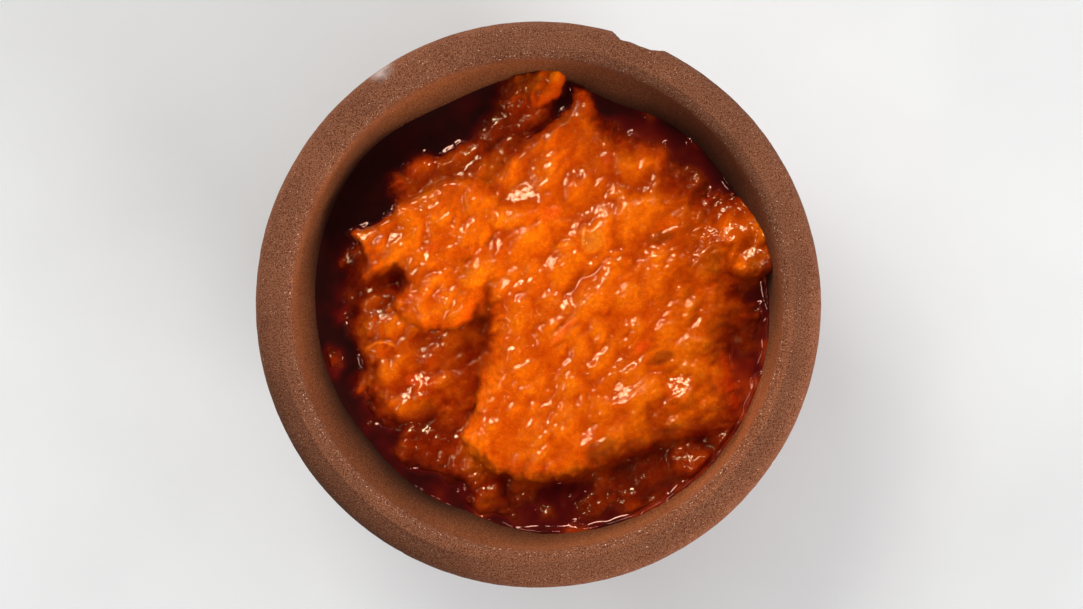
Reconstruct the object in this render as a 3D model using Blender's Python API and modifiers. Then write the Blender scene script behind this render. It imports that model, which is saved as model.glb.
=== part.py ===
"""A small clay bowl of ajvar: the turned bowl, the heaped relish and the pool of red oil round it.

Metres, +Z up. The origin is the centre of the bowl's foot, and +Y is the side with the dent in the rim.
"""

import math
import random
from collections import namedtuple

import bmesh
import bpy
import numpy as np
from mathutils import Matrix, Vector, noise

MM = 0.001

# Driving dimensions of the bowl
RIM_RADIUS = 60 * MM
HEIGHT = 56 * MM
FOOT_RADIUS = 34 * MM
FLOOR_THICKNESS = 9 * MM
MOUTH_RADIUS = 52.6 * MM
TURN_STEPS = 72

# Roundings of the rim and the foot
OUTER_ROUND = 3.4 * MM
INNER_ROUND = 2.0 * MM
FOOT_ROUND = 1.6 * MM

# Inside and outside are round bowl curves: the radius falls as the depth to these powers
HOLLOW_POWER = 1.95
HOLLOW_STEPS = 8
BODY_POWER = 1.75
BODY_STEPS = 5

# The hollow is hand-made and a little oval: long axis and stretch along it, full below this height
OVAL = 0.021
OVAL_ANGLE = math.radians(135)
OVAL_BELOW = 43 * MM

# Dent pressed into the rim's outer edge, in degrees anticlockwise from +X
DENT_START = 62.5
DENT_END = 75.5
DENT_DEPTH = 1.55 * MM
DENT_HEIGHT = 11 * MM

# Fill levels
GAP = 0.3 * MM
OIL_LEVEL = 40 * MM
BED_LEVEL = 38.4 * MM
BED_SWELL = 1.3 * MM
OIL_UNDERSIDE = OIL_LEVEL - 7 * MM
SHORE_DROP = 1.5 * MM
SHORE_WIDTH = 0.9 * MM
SHORE_SLOPE = 5.0
OIL_CLEARANCE = 0.45 * MM

# Relief of the relish
FIELD_RADIUS = 50 * MM
FIELD_CELLS = 124
HEAP_SHARE_KEPT = 0.17
BLEND = 0.7 * MM
SWELL = 0.55 * MM
SWELL_LENGTH = 11 * MM
LUMP_COUNT = 420
LUMP_RADII = (1.5 * MM, 3.1 * MM)
LUMP_RISE = 0.34
LUMP_STRETCH = 1.55
STIR_ANGLE = math.radians(48)
SEED = 7

# A spoonful of relish: its outline seen from above as (x, y, width of the rounded edge there), the height of
# the ground it lies on, the height of its top at the outline's middle, and how much the top leans along X and Y.
# Outlines and heights are in millimetres.
Spoonful = namedtuple("Spoonful", "outline ground top lean")

MAIN_HEAP = Spoonful(
    outline=(
        (6.8, 45.6, 3), (10.8, 41.5, 4), (20.8, 40.5, 9), (32.8, 33.5, 12), (40.8, 24.5, 12),
        (44.8, 14.0, 9), (45.3, 3.0, 8), (44.3, -4.0, 7), (41.8, -10.5, 5), (42.8, -19.0, 6),
        (40.8, -26.0, 7), (32.8, -28.0, 6), (26.3, -31.2, 5), (12.8, -34.6, 4), (6.3, -38.2, 3.4),
        (-1.7, -39.0, 3.2), (-9.2, -37.2, 3.2), (-13.7, -33.0, 3), (-17.3, -28.4, 2.2), (-13.9, -23.6, 2.4),
        (-12.5, -15.0, 4), (-11.5, -5.0, 5), (-10.5, 6.0, 6), (-9.7, 16.0, 6), (-9.9, 23.5, 3),
        (-6.7, 29.7, 2.4), (-2.7, 33.9, 2.4), (1.9, 38.2, 3), (3.7, 43.5, 3),
    ),
    ground=38.3, top=45.5, lean=(-0.045, -0.070),
)
TONGUE = Spoonful(
    outline=(
        (-2.7, 20.5, 5), (-13.3, 26.4, 3), (-21.1, 26.2, 2.6), (-28.9, 22.6, 2.6), (-33.7, 18.5, 2.2),
        (-38.1, 17.8, 1.8), (-41.3, 14.6, 1.5), (-37.5, 12.1, 1.8), (-37.1, 9.0, 1.8), (-38.1, 5.6, 1.5),
        (-33.7, 6.8, 1.8), (-31.2, 8.0, 1.8), (-30.1, 5.6, 2.4), (-31.5, 1.2, 3.4), (-29.1, -3.7, 3.6),
        (-23.1, -5.7, 3.6), (-16.9, -5.1, 3.6), (-12.9, -1.0, 4), (-5.7, 6.0, 6),
    ),
    ground=39.5, top=45.8, lean=(0.045, 0.012),
)
LEFT_SHOULDER = Spoonful(
    outline=(
        (-38.7, 15.0, 3), (-43.7, 8.0, 3), (-45.0, 1.0, 3), (-44.7, -4.5, 3), (-41.7, -8.4, 2.4),
        (-40.5, -11.8, 2), (-37.1, -13.2, 2.4), (-38.1, -17.5, 3), (-39.3, -20.8, 3), (-36.1, -26.6, 3),
        (-31.1, -27.4, 3), (-27.7, -23.6, 4), (-20.7, -21.8, 4), (-13.7, -20.0, 5), (-9.7, -8.0, 5),
        (-9.7, 6.0, 5), (-22.7, 14.0, 5),
    ),
    ground=37.6, top=43.2, lean=(-0.02, -0.018),
)
FAR_LEFT_BANK = Spoonful(
    outline=(
        (-32.5, 24.0, 4), (-31.1, 31.6, 3), (-25.7, 34.4, 3), (-20.2, 34.0, 3), (-15.2, 36.8, 3),
        (-9.2, 39.8, 3), (-1.7, 41.2, 3), (2.8, 40.0, 3), (1.8, 34.0, 4), (-5.7, 28.0, 4), (-9.7, 22.0, 4),
        (-20.7, 20.0, 4),
    ),
    ground=37.8, top=42.4, lean=(0.0, 0.02),
)
FAR_KNOB = Spoonful(
    outline=(
        (-9.3, 43.2, 2.6), (-8.3, 47.6, 2.6), (-4.1, 52.0, 2.6), (4.3, 52.0, 2.6), (6.7, 46.6, 2.6),
        (3.3, 39.6, 2.6), (-4.7, 39.2, 2.6),
    ),
    ground=38.0, top=44.0, lean=(0.0, 0.05),
)
RIGHT_KNOB = Spoonful(
    outline=(
        (36.5, 21.0, 5), (43.6, 21.8, 3), (49.7, 16.2, 2.6), (52.4, 9.6, 2.4), (51.4, 4.0, 2.6),
        (46.0, 3.0, 2.6), (40.4, 5.4, 4), (36.0, 13.0, 5),
    ),
    ground=39.6, top=45.2, lean=(0.12, 0.0),
)
NEAR_LEFT_BANK = Spoonful(
    outline=(
        (-31.9, -28.6, 3), (-32.5, -33.6, 2.6), (-27.7, -37.4, 2.6), (-21.2, -36.6, 2.6), (-17.9, -39.2, 2.6),
        (-14.7, -43.4, 2.6), (-9.5, -44.4, 2.6), (-4.7, -42.2, 3), (2.3, -39.0, 4), (-6.7, -33.0, 4),
        (-15.7, -25.0, 4), (-22.7, -25.6, 4),
    ),
    ground=37.4, top=41.9, lean=(0.0, 0.03),
)
NEAR_RIGHT_KNOB = Spoonful(
    outline=((30.3, -30.0, 2.4), (35.1, -29.8, 2.4), (36.1, -34.4, 2.4), (32.5, -37.6, 2.4), (28.7, -34.6, 2.4)),
    ground=38.0, top=42.6, lean=(0.0, 0.0),
)
RIGHT_CRUMB = Spoonful(
    outline=((42.9, -4.6, 1.6), (45.7, -4.4, 1.6), (46.1, -7.8, 1.6), (43.3, -8.6, 1.6)),
    ground=38.0, top=42.0, lean=(0.0, 0.0),
)
LEFT_CRUMB = Spoonful(
    outline=((-46.9, -9.6, 1.4), (-44.5, -9.4, 1.4), (-44.3, -12.8, 1.4), (-46.7, -13.0, 1.4)),
    ground=38.4, top=41.6, lean=(0.0, 0.0),
)
CLEAR_OF_WALL = (
    MAIN_HEAP, TONGUE, LEFT_SHOULDER, FAR_LEFT_BANK, NEAR_LEFT_BANK, NEAR_RIGHT_KNOB, RIGHT_CRUMB, LEFT_CRUMB,
)
AGAINST_WALL = (FAR_KNOB, RIGHT_KNOB)

# Flakes of pepper and skin that lie on the relish: place in millimetres, half sizes, turn and dip in degrees
Flake = namedtuple("Flake", "place half_size turn dip")
FLAKES = (
    Flake((12.6, 14.2), (2.8, 2.0, 0.8), 20, 8),
    Flake((5.0, -5.0), (3.6, 1.1, 0.9), 42, 4),
    Flake((-35.9, 7.6), (2.6, 1.5, 0.9), 68, 14),
    Flake((-41.0, -1.6), (2.5, 1.5, 1.0), 35, 12),
)
CURL_CENTRE = (-34.2, -8.6)
CURL_RADIUS = 3.0
CURL_THICKNESS = 0.5

# Looks of the three parts: colour, roughness
CLAY = ((0.22, 0.085, 0.046, 1.0), 0.9)
RELISH = ((0.64, 0.092, 0.006, 1.0), 0.22)
RED_OIL = ((0.09, 0.008, 0.003, 1.0), 0.06)


def clear_scene():
    for obj in list(bpy.data.objects):
        bpy.data.objects.remove(obj, do_unlink=True)


def collection(name):
    made = bpy.data.collections.new(name)
    bpy.context.scene.collection.children.link(made)
    return made


def material(name, look):
    made = bpy.data.materials.new(name)
    made.use_nodes = True
    shader = made.node_tree.nodes["Principled BSDF"]
    shader.inputs["Base Color"].default_value = look[0]
    shader.inputs["Roughness"].default_value = look[1]
    shader.inputs["Metallic"].default_value = 0.0
    return made


def hide_helper(obj):
    obj.hide_render = True
    obj.display_type = "WIRE"


def hollow_radius(z, inset=0.0):
    """Radius of the bowl's inner wall at height z, or of the same curve moved inwards by inset."""
    top = HEIGHT - INNER_ROUND
    depth = top - FLOOR_THICKNESS - inset
    share = min(max((top - z) / depth, 0.0), 1.0)
    return (MOUTH_RADIUS - INNER_ROUND / 2 - inset) * math.sqrt(1 - share**HOLLOW_POWER)


def oval_share(z):
    """How oval the hollow is at height z: not at all at the rim, fully from OVAL_BELOW downwards."""
    share = min(max((HEIGHT - INNER_ROUND - z) / (HEIGHT - INNER_ROUND - OVAL_BELOW), 0.0), 1.0)
    return OVAL * share * share * (3 - 2 * share)


def oval_place(x, y, amount):
    """(x, y) stretched by amount along the oval's long axis and squeezed as much across it."""
    c, s = math.cos(OVAL_ANGLE), math.sin(OVAL_ANGLE)
    along, across = (x * c + y * s) * (1 + amount), (-x * s + y * c) * (1 - amount)
    return along * c - across * s, along * s + across * c


def round_radius(x, y):
    """Distance from the axis once the oval at the oil's height is made round."""
    x, y = oval_place(x, y, -OVAL)
    return np.hypot(x, y)


def make_oval(obj):
    """Gives the turned hollow its slight oval. Points outside the wall stay where they are."""
    for vert in obj.data.vertices:
        x, y, z = vert.co
        if math.hypot(x, y) < hollow_radius(z) + 0.5 * MM:
            vert.co.x, vert.co.y = oval_place(x, y, oval_share(z))


def hollow_profile(low, high, inset=0.0, steps=HOLLOW_STEPS):
    """(radius, z) points up the inner wall, closer together where the floor curves most."""
    points = []
    for i in range(steps + 1):
        share = (i / steps) ** 2
        z = low + (high - low) * share
        points.append((hollow_radius(z, inset), z))
    return points


def arc(centre, size, start, end, steps):
    """Points of an elliptic arc in the (radius, z) plane, angles in degrees."""
    points = []
    for i in range(steps + 1):
        angle = math.radians(start + (end - start) * i / steps)
        points.append((centre[0] + size[0] * math.cos(angle), centre[1] + size[1] * math.sin(angle)))
    return points


def bowl_profile():
    """From the middle of the inner floor, up the wall, over the rim and down to the middle of the foot."""
    inner = hollow_profile(FLOOR_THICKNESS, HEIGHT - INNER_ROUND)
    lip_start = inner[-1][0]
    lip_width = MOUTH_RADIUS + INNER_ROUND / 2 - lip_start
    lip = arc((lip_start + lip_width, HEIGHT - INNER_ROUND), (lip_width, INNER_ROUND), 180, 90, 3)
    shoulder = arc(
        (RIM_RADIUS - OUTER_ROUND, HEIGHT - OUTER_ROUND), (OUTER_ROUND, OUTER_ROUND), 90, 0, 4
    )
    body = []
    body_top = HEIGHT - OUTER_ROUND
    for i in range(1, BODY_STEPS + 1):
        share = (i / BODY_STEPS) ** 0.9
        z = body_top - (body_top - FOOT_ROUND) * share
        body.append((RIM_RADIUS - (RIM_RADIUS - FOOT_RADIUS) * share**BODY_POWER, z))
    foot = arc((FOOT_RADIUS - FOOT_ROUND, FOOT_ROUND), (FOOT_ROUND, FOOT_ROUND), 0, -90, 2)
    return inner + lip[1:] + shoulder + body + foot[1:] + [(0.0, 0.0)]


def turned(name, profile, group):
    """A profile of (radius, z) points turned round Z."""
    mesh = bpy.data.meshes.new(name)
    edges = [(i, i + 1) for i in range(len(profile) - 1)]
    mesh.from_pydata([(r, 0.0, z) for r, z in profile], edges, [])
    obj = bpy.data.objects.new(name, mesh)
    group.objects.link(obj)
    screw = obj.modifiers.new("Turn", "SCREW")
    screw.steps = screw.render_steps = TURN_STEPS
    screw.use_merge_vertices = True
    screw.merge_threshold = 0.00005
    screw.use_smooth_shade = True
    return obj


def boolean(obj, other, operation):
    cut = obj.modifiers.new(operation.title(), "BOOLEAN")
    cut.operation = operation
    cut.solver = "EXACT"
    cut.object = other


def applied(obj, name, group):
    """A new object that holds obj's mesh with its modifiers applied. The old object is removed."""
    bpy.context.view_layer.update()
    graph = bpy.context.evaluated_depsgraph_get()
    mesh = bpy.data.meshes.new_from_object(obj.evaluated_get(graph))
    mesh.name = name
    made = bpy.data.objects.new(name, mesh)
    made.matrix_world = obj.matrix_world
    bpy.data.objects.remove(obj, do_unlink=True)
    made.name = name
    group.objects.link(made)
    return made


def dent_cutter(group):
    """A wedge that stands outside the rim and leans into it, steep at one end and fading out at the other."""
    shape = ((0.0, -1.2), (0.04, -0.15), (0.22, 0.62), (0.45, 0.98), (0.72, 1.0), (0.86, 0.72), (0.97, -0.1), (1.0, -1.2))
    mesh = bpy.data.meshes.new("dent_cutter")
    edit = bmesh.new()
    corners = []
    for share, depth in shape:
        angle = math.radians(DENT_START + (DENT_END - DENT_START) * share)
        radius = RIM_RADIUS - DENT_DEPTH * depth
        corners.append(edit.verts.new((radius * math.cos(angle), radius * math.sin(angle), HEIGHT + 2 * MM)))
    top = edit.faces.new(corners)
    lower = bmesh.ops.extrude_face_region(edit, geom=[top])["geom"]
    outwards = math.radians((DENT_START + DENT_END) / 2)
    lean = DENT_DEPTH + 0.4 * MM
    step = Vector((math.cos(outwards) * lean, math.sin(outwards) * lean, -DENT_HEIGHT - 2 * MM))
    bmesh.ops.translate(edit, verts=[v for v in lower if isinstance(v, bmesh.types.BMVert)], vec=step)
    bmesh.ops.recalc_face_normals(edit, faces=edit.faces)
    edit.to_mesh(mesh)
    edit.free()
    obj = bpy.data.objects.new("dent_cutter", mesh)
    group.objects.link(obj)
    hide_helper(obj)
    return obj


def smooth_outline(points, per_point=5):
    """Points of a closed curve that runs smoothly through the given ones."""
    given = np.array(points, float) * MM
    before, after, far = np.roll(given, 1, 0), np.roll(given, -1, 0), np.roll(given, -2, 0)
    rows = []
    for i in range(per_point):
        t = i / per_point
        rows.append(
            0.5 * (2 * given + (after - before) * t + (2 * before - 5 * given + 4 * after - far) * t**2
                   + (3 * given - before - 3 * after + far) * t**3)
        )
    return np.stack(rows, axis=1).reshape(-1, 3)


def depth_inside(x, y, outline):
    """Distance to a closed outline, positive inside it, and the edge width of its nearest point."""
    near = np.full(x.shape, 1.0)
    edge = np.full(x.shape, outline[0][2])
    inside = np.zeros(x.shape, bool)
    for (ax, ay, width), (bx, by, _) in zip(outline, np.roll(outline, -1, 0)):
        ex, ey = bx - ax, by - ay
        along = np.clip(((x - ax) * ex + (y - ay) * ey) / (ex * ex + ey * ey), 0, 1)
        distance = np.hypot(x - ax - along * ex, y - ay - along * ey)
        edge = np.where(distance < near, width, edge)
        near = np.minimum(near, distance)
        if ay != by:
            crossing = ((ay > y) != (by > y)) & (x < ax + (y - ay) * ex / ey)
            inside ^= crossing
    return np.where(inside, near, -near), edge


def swell(x, y, length, layer):
    """Slow unevenness between -1 and 1."""
    return np.array([noise.noise(Vector((a / length, b / length, layer))) for a, b in zip(x, y)])


def lump_field(x, y):
    """Height of the chopped pieces that stand out of the relish, by a seeded scatter."""
    draw = random.Random(SEED)
    field = np.zeros(x.shape)
    for _ in range(LUMP_COUNT):
        distance = FIELD_RADIUS * math.sqrt(draw.random())
        bearing = draw.uniform(0, 2 * math.pi)
        radius = LUMP_RADII[0] + (LUMP_RADII[1] - LUMP_RADII[0]) * draw.random() ** 1.6
        turn = STIR_ANGLE + draw.gauss(0, 0.45)
        stretch = draw.uniform(1.0, LUMP_STRETCH)
        rise = radius * LUMP_RISE * draw.uniform(0.6, 1.15)
        dx, dy = x - distance * math.cos(bearing), y - distance * math.sin(bearing)
        along = (dx * math.cos(turn) + dy * math.sin(turn)) / (radius * stretch)
        across = (-dx * math.sin(turn) + dy * math.cos(turn)) / (radius / stretch**0.5)
        dome = np.clip(1 - along**2 - across**2, 0, 1) ** 0.8
        field = np.maximum(field, rise * dome)
    return field


def blended_max(a, b, width):
    """The larger of two heights, with a soft fillet where they meet."""
    share = np.clip(0.5 + 0.5 * (a - b) / width, 0, 1)
    return b + (a - b) * share + width * share * (1 - share)


def spoonful_height(x, y, spoonful):
    """A spoonful's surface: an upright round edge where it is narrow, a gentle slope where it is wide."""
    outline = smooth_outline(spoonful.outline)
    middle = outline.mean(0)
    depth, edge = depth_inside(x, y, outline)
    share = np.clip(depth / edge, 0, 1)
    gentle = np.clip((edge / MM - 3) / 6, 0, 1)
    rise = (1 - (1 - share) ** 2) ** (0.5 + 0.45 * gentle)
    lean = spoonful.lean[0] * (x - middle[0]) + spoonful.lean[1] * (y - middle[1])
    top = spoonful.top * MM + lean
    ground = spoonful.ground * MM
    return np.where(depth > 0, ground + (top - ground) * rise, ground - 6 * MM)


def above_oil(height):
    """0 where the relish is well under the oil and 1 where it stands out of it."""
    return np.clip((height - OIL_LEVEL) / MM + 1.2, 0, 1)


def relish_height(x, y):
    """Height of the relish above the plane of the foot at each (x, y)."""
    height = np.full(x.shape, BED_LEVEL) + BED_SWELL * swell(x, y, SWELL_LENGTH * 0.8, 3.1)
    for spoonful in CLEAR_OF_WALL:
        height = blended_max(spoonful_height(x, y, spoonful), height, BLEND)
    unevenness = SWELL * swell(x, y, SWELL_LENGTH, 9.4) + lump_field(x, y)
    height = height + unevenness * above_oil(height)
    shore = hollow_radius(OIL_LEVEL) - SHORE_WIDTH
    most = OIL_LEVEL - SHORE_DROP + SHORE_SLOPE * np.clip(shore - round_radius(x, y), 0, 1)
    height = np.minimum(height, most)
    for spoonful in AGAINST_WALL:
        knob = spoonful_height(x, y, spoonful)
        height = blended_max(knob + unevenness * above_oil(knob), height, BLEND)
    return height


def relish_block(group):
    """A block whose top is the relish's surface and whose sides run below the bowl's floor."""
    mesh = bpy.data.meshes.new("relish_block")
    edit = bmesh.new()
    bmesh.ops.create_grid(edit, x_segments=FIELD_CELLS, y_segments=FIELD_CELLS, size=FIELD_RADIUS)
    x = np.array([v.co.x for v in edit.verts])
    y = np.array([v.co.y for v in edit.verts])
    for vert, z in zip(edit.verts, relish_height(x, y)):
        vert.co.z = z
    rim = [e for e in edit.edges if e.is_boundary]
    skirt = bmesh.ops.extrude_edge_only(edit, edges=rim)["geom"]
    for vert in skirt:
        if isinstance(vert, bmesh.types.BMVert):
            vert.co.z = 0.0
    bmesh.ops.holes_fill(edit, edges=[e for e in edit.edges if e.is_boundary], sides=0)
    bmesh.ops.recalc_face_normals(edit, faces=edit.faces)
    edit.to_mesh(mesh)
    edit.free()
    obj = bpy.data.objects.new("relish_block", mesh)
    group.objects.link(obj)
    fewer = obj.modifiers.new("Fewer faces", "DECIMATE")
    fewer.ratio = HEAP_SHARE_KEPT
    block = applied(obj, "relish_block", group)
    hide_helper(block)
    return block


def flake_pieces(group):
    """Flat flakes and one curl of pepper skin, each half sunk in the relish."""
    places = np.array([flake.place for flake in FLAKES]) * MM
    heights = relish_height(places[:, 0], places[:, 1])
    for flake, place, z in zip(FLAKES, places, heights):
        bpy.ops.mesh.primitive_ico_sphere_add(subdivisions=2, radius=1.0)
        obj = bpy.context.object
        obj.name = "flake"
        size = Matrix.Diagonal((*[s * MM for s in flake.half_size], 1.0))
        turn = Matrix.Rotation(math.radians(flake.turn), 4, "Z") @ Matrix.Rotation(math.radians(flake.dip), 4, "Y")
        obj.data.transform(Matrix.Translation((place[0], place[1], z + 0.2 * MM)) @ turn @ size)
        for old in list(obj.users_collection):
            old.objects.unlink(obj)
        group.objects.link(obj)
    curl_pieces(group)


def curl_pieces(group):
    """A curled strip of skin, a bent tube that dips into the relish at both ends."""
    curve = bpy.data.curves.new("curl", "CURVE")
    curve.dimensions = "3D"
    curve.bevel_depth = CURL_THICKNESS * MM
    curve.bevel_resolution = 1
    curve.use_fill_caps = True
    spline = curve.splines.new("POLY")
    steps = 7
    spline.points.add(steps)
    centre = Vector((CURL_CENTRE[0], CURL_CENTRE[1])) * MM
    ground = relish_height(np.array([centre.x]), np.array([centre.y]))[0]
    for i, point in enumerate(spline.points):
        angle = math.radians(25 + 150 * i / steps)
        lift = math.sin(math.pi * i / steps) * 0.9 * MM
        point.co = (
            centre.x + CURL_RADIUS * MM * math.cos(angle), centre.y + CURL_RADIUS * MM * math.sin(angle),
            ground + lift - 0.1 * MM, 1.0,
        )
    obj = bpy.data.objects.new("curl", curve)
    group.objects.link(obj)
    made = applied(obj, "curl", group)
    edit = bmesh.new()
    edit.from_mesh(made.data)
    bmesh.ops.remove_doubles(edit, verts=edit.verts, dist=0.01 * MM)
    bmesh.ops.recalc_face_normals(edit, faces=edit.faces)
    edit.to_mesh(made.data)
    edit.free()


def islands_of(edit):
    """The mesh's loose pieces as lists of vertices, the largest first."""
    left = set(edit.verts)
    islands = []
    while left:
        start = left.pop()
        island, front = [start], [start]
        while front:
            for edge in front.pop().link_edges:
                for vert in edge.verts:
                    if vert in left:
                        left.remove(vert)
                        island.append(vert)
                        front.append(vert)
        islands.append(island)
    islands.sort(key=len, reverse=True)
    return islands


def keep_island(mesh, rank):
    edit = bmesh.new()
    edit.from_mesh(mesh)
    islands = islands_of(edit)
    others = [vert for i, island in enumerate(islands) if i != rank for vert in island]
    bmesh.ops.delete(edit, geom=others, context="VERTS")
    edit.to_mesh(mesh)
    edit.free()


def largest_islands(obj, second_name, group):
    """Leaves obj its largest loose piece, makes the second its own object and drops scraps such as a puddle."""
    second = bpy.data.objects.new(second_name, obj.data.copy())
    group.objects.link(second)
    keep_island(obj.data, 0)
    keep_island(second.data, 1)
    return second


def make_bowl(parts, cutters):
    bowl = applied(turned("bowl_turned", bowl_profile(), parts), "bowl", parts)
    make_oval(bowl)
    boolean(bowl, dent_cutter(cutters), "DIFFERENCE")
    return bowl


def make_relish(parts, cutters, block):
    low = FLOOR_THICKNESS + GAP
    wall = hollow_profile(low, HEIGHT - INNER_ROUND, GAP)
    filler = turned("filler", wall + [(0.0, HEIGHT - INNER_ROUND)], cutters)
    hollow = applied(filler, "hollow", cutters)
    make_oval(hollow)
    hide_helper(hollow)
    toppings = collection("toppings")
    flake_pieces(toppings)
    relish = block.copy()
    relish.data = block.data.copy()
    relish.name = "relish"
    relish.hide_render = False
    relish.display_type = "TEXTURED"
    parts.objects.link(relish)
    fuse = relish.modifiers.new("Fuse flakes", "BOOLEAN")
    fuse.operation = "UNION"
    fuse.operand_type = "COLLECTION"
    fuse.solver = "EXACT"
    fuse.collection = toppings
    boolean(relish, hollow, "INTERSECT")
    made = applied(relish, "ajvar", parts)
    for obj in list(toppings.objects):
        bpy.data.objects.remove(obj, do_unlink=True)
    bpy.data.collections.remove(toppings)
    return made


def make_oil(parts, cutters, block):
    raised = block.copy()
    raised.data = block.data.copy()
    raised.name = "raised_relish"
    raised.data.transform(Matrix.Translation((0, 0, OIL_CLEARANCE)))
    cutters.objects.link(raised)
    wall = hollow_profile(OIL_UNDERSIDE, OIL_LEVEL, GAP, steps=3)
    pool = turned("pool_turned", [(0.0, OIL_UNDERSIDE)] + wall + [(0.0, OIL_LEVEL)], parts)
    oil = applied(pool, "pool", parts)
    make_oval(oil)
    boolean(oil, raised, "DIFFERENCE")
    made = applied(oil, "oil", parts)
    return made, largest_islands(made, "oil_at_far_right", parts)


def finish(obj, look_name, look):
    obj.data.materials.clear()
    obj.data.materials.append(material(look_name, look))
    obj.data.shade_smooth()


def main():
    clear_scene()
    parts = collection("ajvar_in_clay_bowl")
    cutters = collection("cutters")
    block = relish_block(cutters)
    bowl = make_bowl(parts, cutters)
    relish = make_relish(parts, cutters, block)
    oil, far_oil = make_oil(parts, cutters, block)
    finish(bowl, "clay", CLAY)
    finish(relish, "ajvar", RELISH)
    finish(oil, "red_oil", RED_OIL)
    finish(far_oil, "red_oil_far", RED_OIL)


main()
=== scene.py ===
"""A small clay bowl of ajvar: the turned bowl, the heaped relish, the red oil round it and a pale stage.

Everything is in metres, +Z up. The origin is the centre of the bowl's foot. +Y is the side where the rim is
dented, and +X is to the right seen from above.
"""

import math
import random
from functools import lru_cache
from typing import NamedTuple

import bmesh
import bpy
import numpy as np
from bpy.props import FloatProperty, FloatVectorProperty, IntProperty, PointerProperty
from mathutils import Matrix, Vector, kdtree, noise


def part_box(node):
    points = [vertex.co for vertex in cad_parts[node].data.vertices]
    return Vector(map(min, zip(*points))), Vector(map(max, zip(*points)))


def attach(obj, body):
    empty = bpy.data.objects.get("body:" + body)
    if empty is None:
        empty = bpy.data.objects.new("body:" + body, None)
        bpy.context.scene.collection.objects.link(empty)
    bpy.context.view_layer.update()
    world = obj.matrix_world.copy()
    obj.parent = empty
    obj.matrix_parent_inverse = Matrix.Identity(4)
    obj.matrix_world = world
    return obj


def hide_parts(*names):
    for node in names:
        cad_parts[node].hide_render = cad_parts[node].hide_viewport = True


bl_info = {
    "name": "Bowl of ajvar",
    "version": (1, 0, 0),
    "blender": (4, 5, 0),
    "location": "View3D > Sidebar > Ajvar",
    "description": "Models a small clay bowl of ajvar and the stage it stands on",
    "category": "Add Mesh",
}

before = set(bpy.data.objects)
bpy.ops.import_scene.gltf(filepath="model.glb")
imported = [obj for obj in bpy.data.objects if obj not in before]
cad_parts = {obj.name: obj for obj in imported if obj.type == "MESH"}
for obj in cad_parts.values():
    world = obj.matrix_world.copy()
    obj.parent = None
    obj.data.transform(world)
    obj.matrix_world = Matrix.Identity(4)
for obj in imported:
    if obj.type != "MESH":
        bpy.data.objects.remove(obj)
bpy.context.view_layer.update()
RIM_RADIUS, _, RIM_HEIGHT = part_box("bowl")[1]
OIL_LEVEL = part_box("oil")[1][2]

MM = 0.001

# The square field on which the relish's relief is worked out: distance between its points, and half its side
PITCH = 0.2 * MM
HALF_FIELD = 52 * MM

# The hollow's curve and oval, as the solid bowl has them
HOLLOW_POWER = 1.95
HOLLOW_FLOOR = 9 * MM
OVAL = 0.021
OVAL_ANGLE = math.radians(135)
OVAL_BELOW = 43 * MM

# The bowl's rim, outer wall and foot
MOUTH_RADIUS = 52.6 * MM
INNER_ROUND = 2 * MM
OUTER_ROUND = 3.4 * MM
RIM_MIDDLE = 55 * MM
BODY_POWER = 1.75
FOOT_RADIUS = 34 * MM
FOOT_ROUND = 1.6 * MM

# The dent between two directions in degrees, as (share of the way, share of its full depth)
DENT_START, DENT_END = 61.5, 75.5
DENT_SHAPE = (
    (0.0, -1.2), (0.06, -0.1), (0.14, 0.32), (0.30, 0.92), (0.58, 1.0), (0.79, 0.98), (0.85, 0.66),
    (0.92, 0.14), (0.98, -0.15), (1.0, -1.2),
)

# Height of the bed under the oil all round, as (degrees, millimetres)
BED = (
    (0, 39.3), (20, 38.9), (60, 37.7), (85, 37.6), (110, 37.0), (135, 36.2), (165, 36.2), (190, 37.4),
    (215, 37.6), (240, 38.5), (265, 39.0), (295, 39.5), (318, 39.9), (335, 39.9), (350, 39.5),
    (360, 39.3),
)

# Where the lower wall swells inwards, as (degrees, half width in degrees, millimetres)
SWELLS = ((116, 15, 1.9), (70, 12, 1.9), (-109, 10, 1.0), (-140, 14, 0.6))

# Painted shade on the wall, as (degrees, share just above the pool, share at the rim), where below 0 is
# painted light
WALL_PAINTED_SHADING = (
    (0, 0.82, -0.36), (15, 0.94, 0.04), (30, 0.94, 0.36), (60, 0.86, 0.42), (75, 0.82, 0.28),
    (90, 0.74, 0.16), (120, 0.76, 0.06), (135, 0.92, 0.06), (150, 1.02, -0.06), (165, 1.10, -0.04),
    (180, 0.86, 0.06), (210, 1.00, 0.12), (240, 0.98, -0.04), (270, 0.76, -0.26), (300, 0.20, -0.48),
    (330, -0.75, -0.84), (345, 0.2, -0.64), (360, 0.82, -0.36),
)

# How strongly the oil climbs the wall, as (degrees, share)
WALL_CLIMB = (
    (0, 0.9), (30, 0.9), (60, 0.5), (70, 0.9), (118, 0.8), (128, 0.15), (190, 0.2), (215, 0.6),
    (252, 1.0), (360, 0.9),
)

# The chalky rub on the rim's outer edge: its middle and reach
CHALK_MIDDLE = (-33.0 * MM, 49.6 * MM, 54.6 * MM)
CHALK_REACH = 3.4 * MM

# The window that the wet surfaces mirror: its direction and the warm colour of its light
WINDOW_DEGREES = 116
WINDOW_COLOUR = (1.0, 0.77, 0.44)

# Where the lights and the camera aim, and half the floor's side
LIGHT_AIM = (0, 0, 50 * MM)
CAMERA_AIM = (1.28 * MM, 0, RIM_HEIGHT)
HALF_FLOOR = 2.5


class Spoonful(NamedTuple):
    """A spoonful of relish, in millimetres."""

    outline: tuple  # (x, y, width of the rounded edge there) all round it, seen from above
    ground: float  # height of what it lies on
    top: float  # height of its top at the outline's middle
    lean: tuple  # rise of the top along X and along Y
    soft: float  # width of the fillet where it runs into what it lies on


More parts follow.
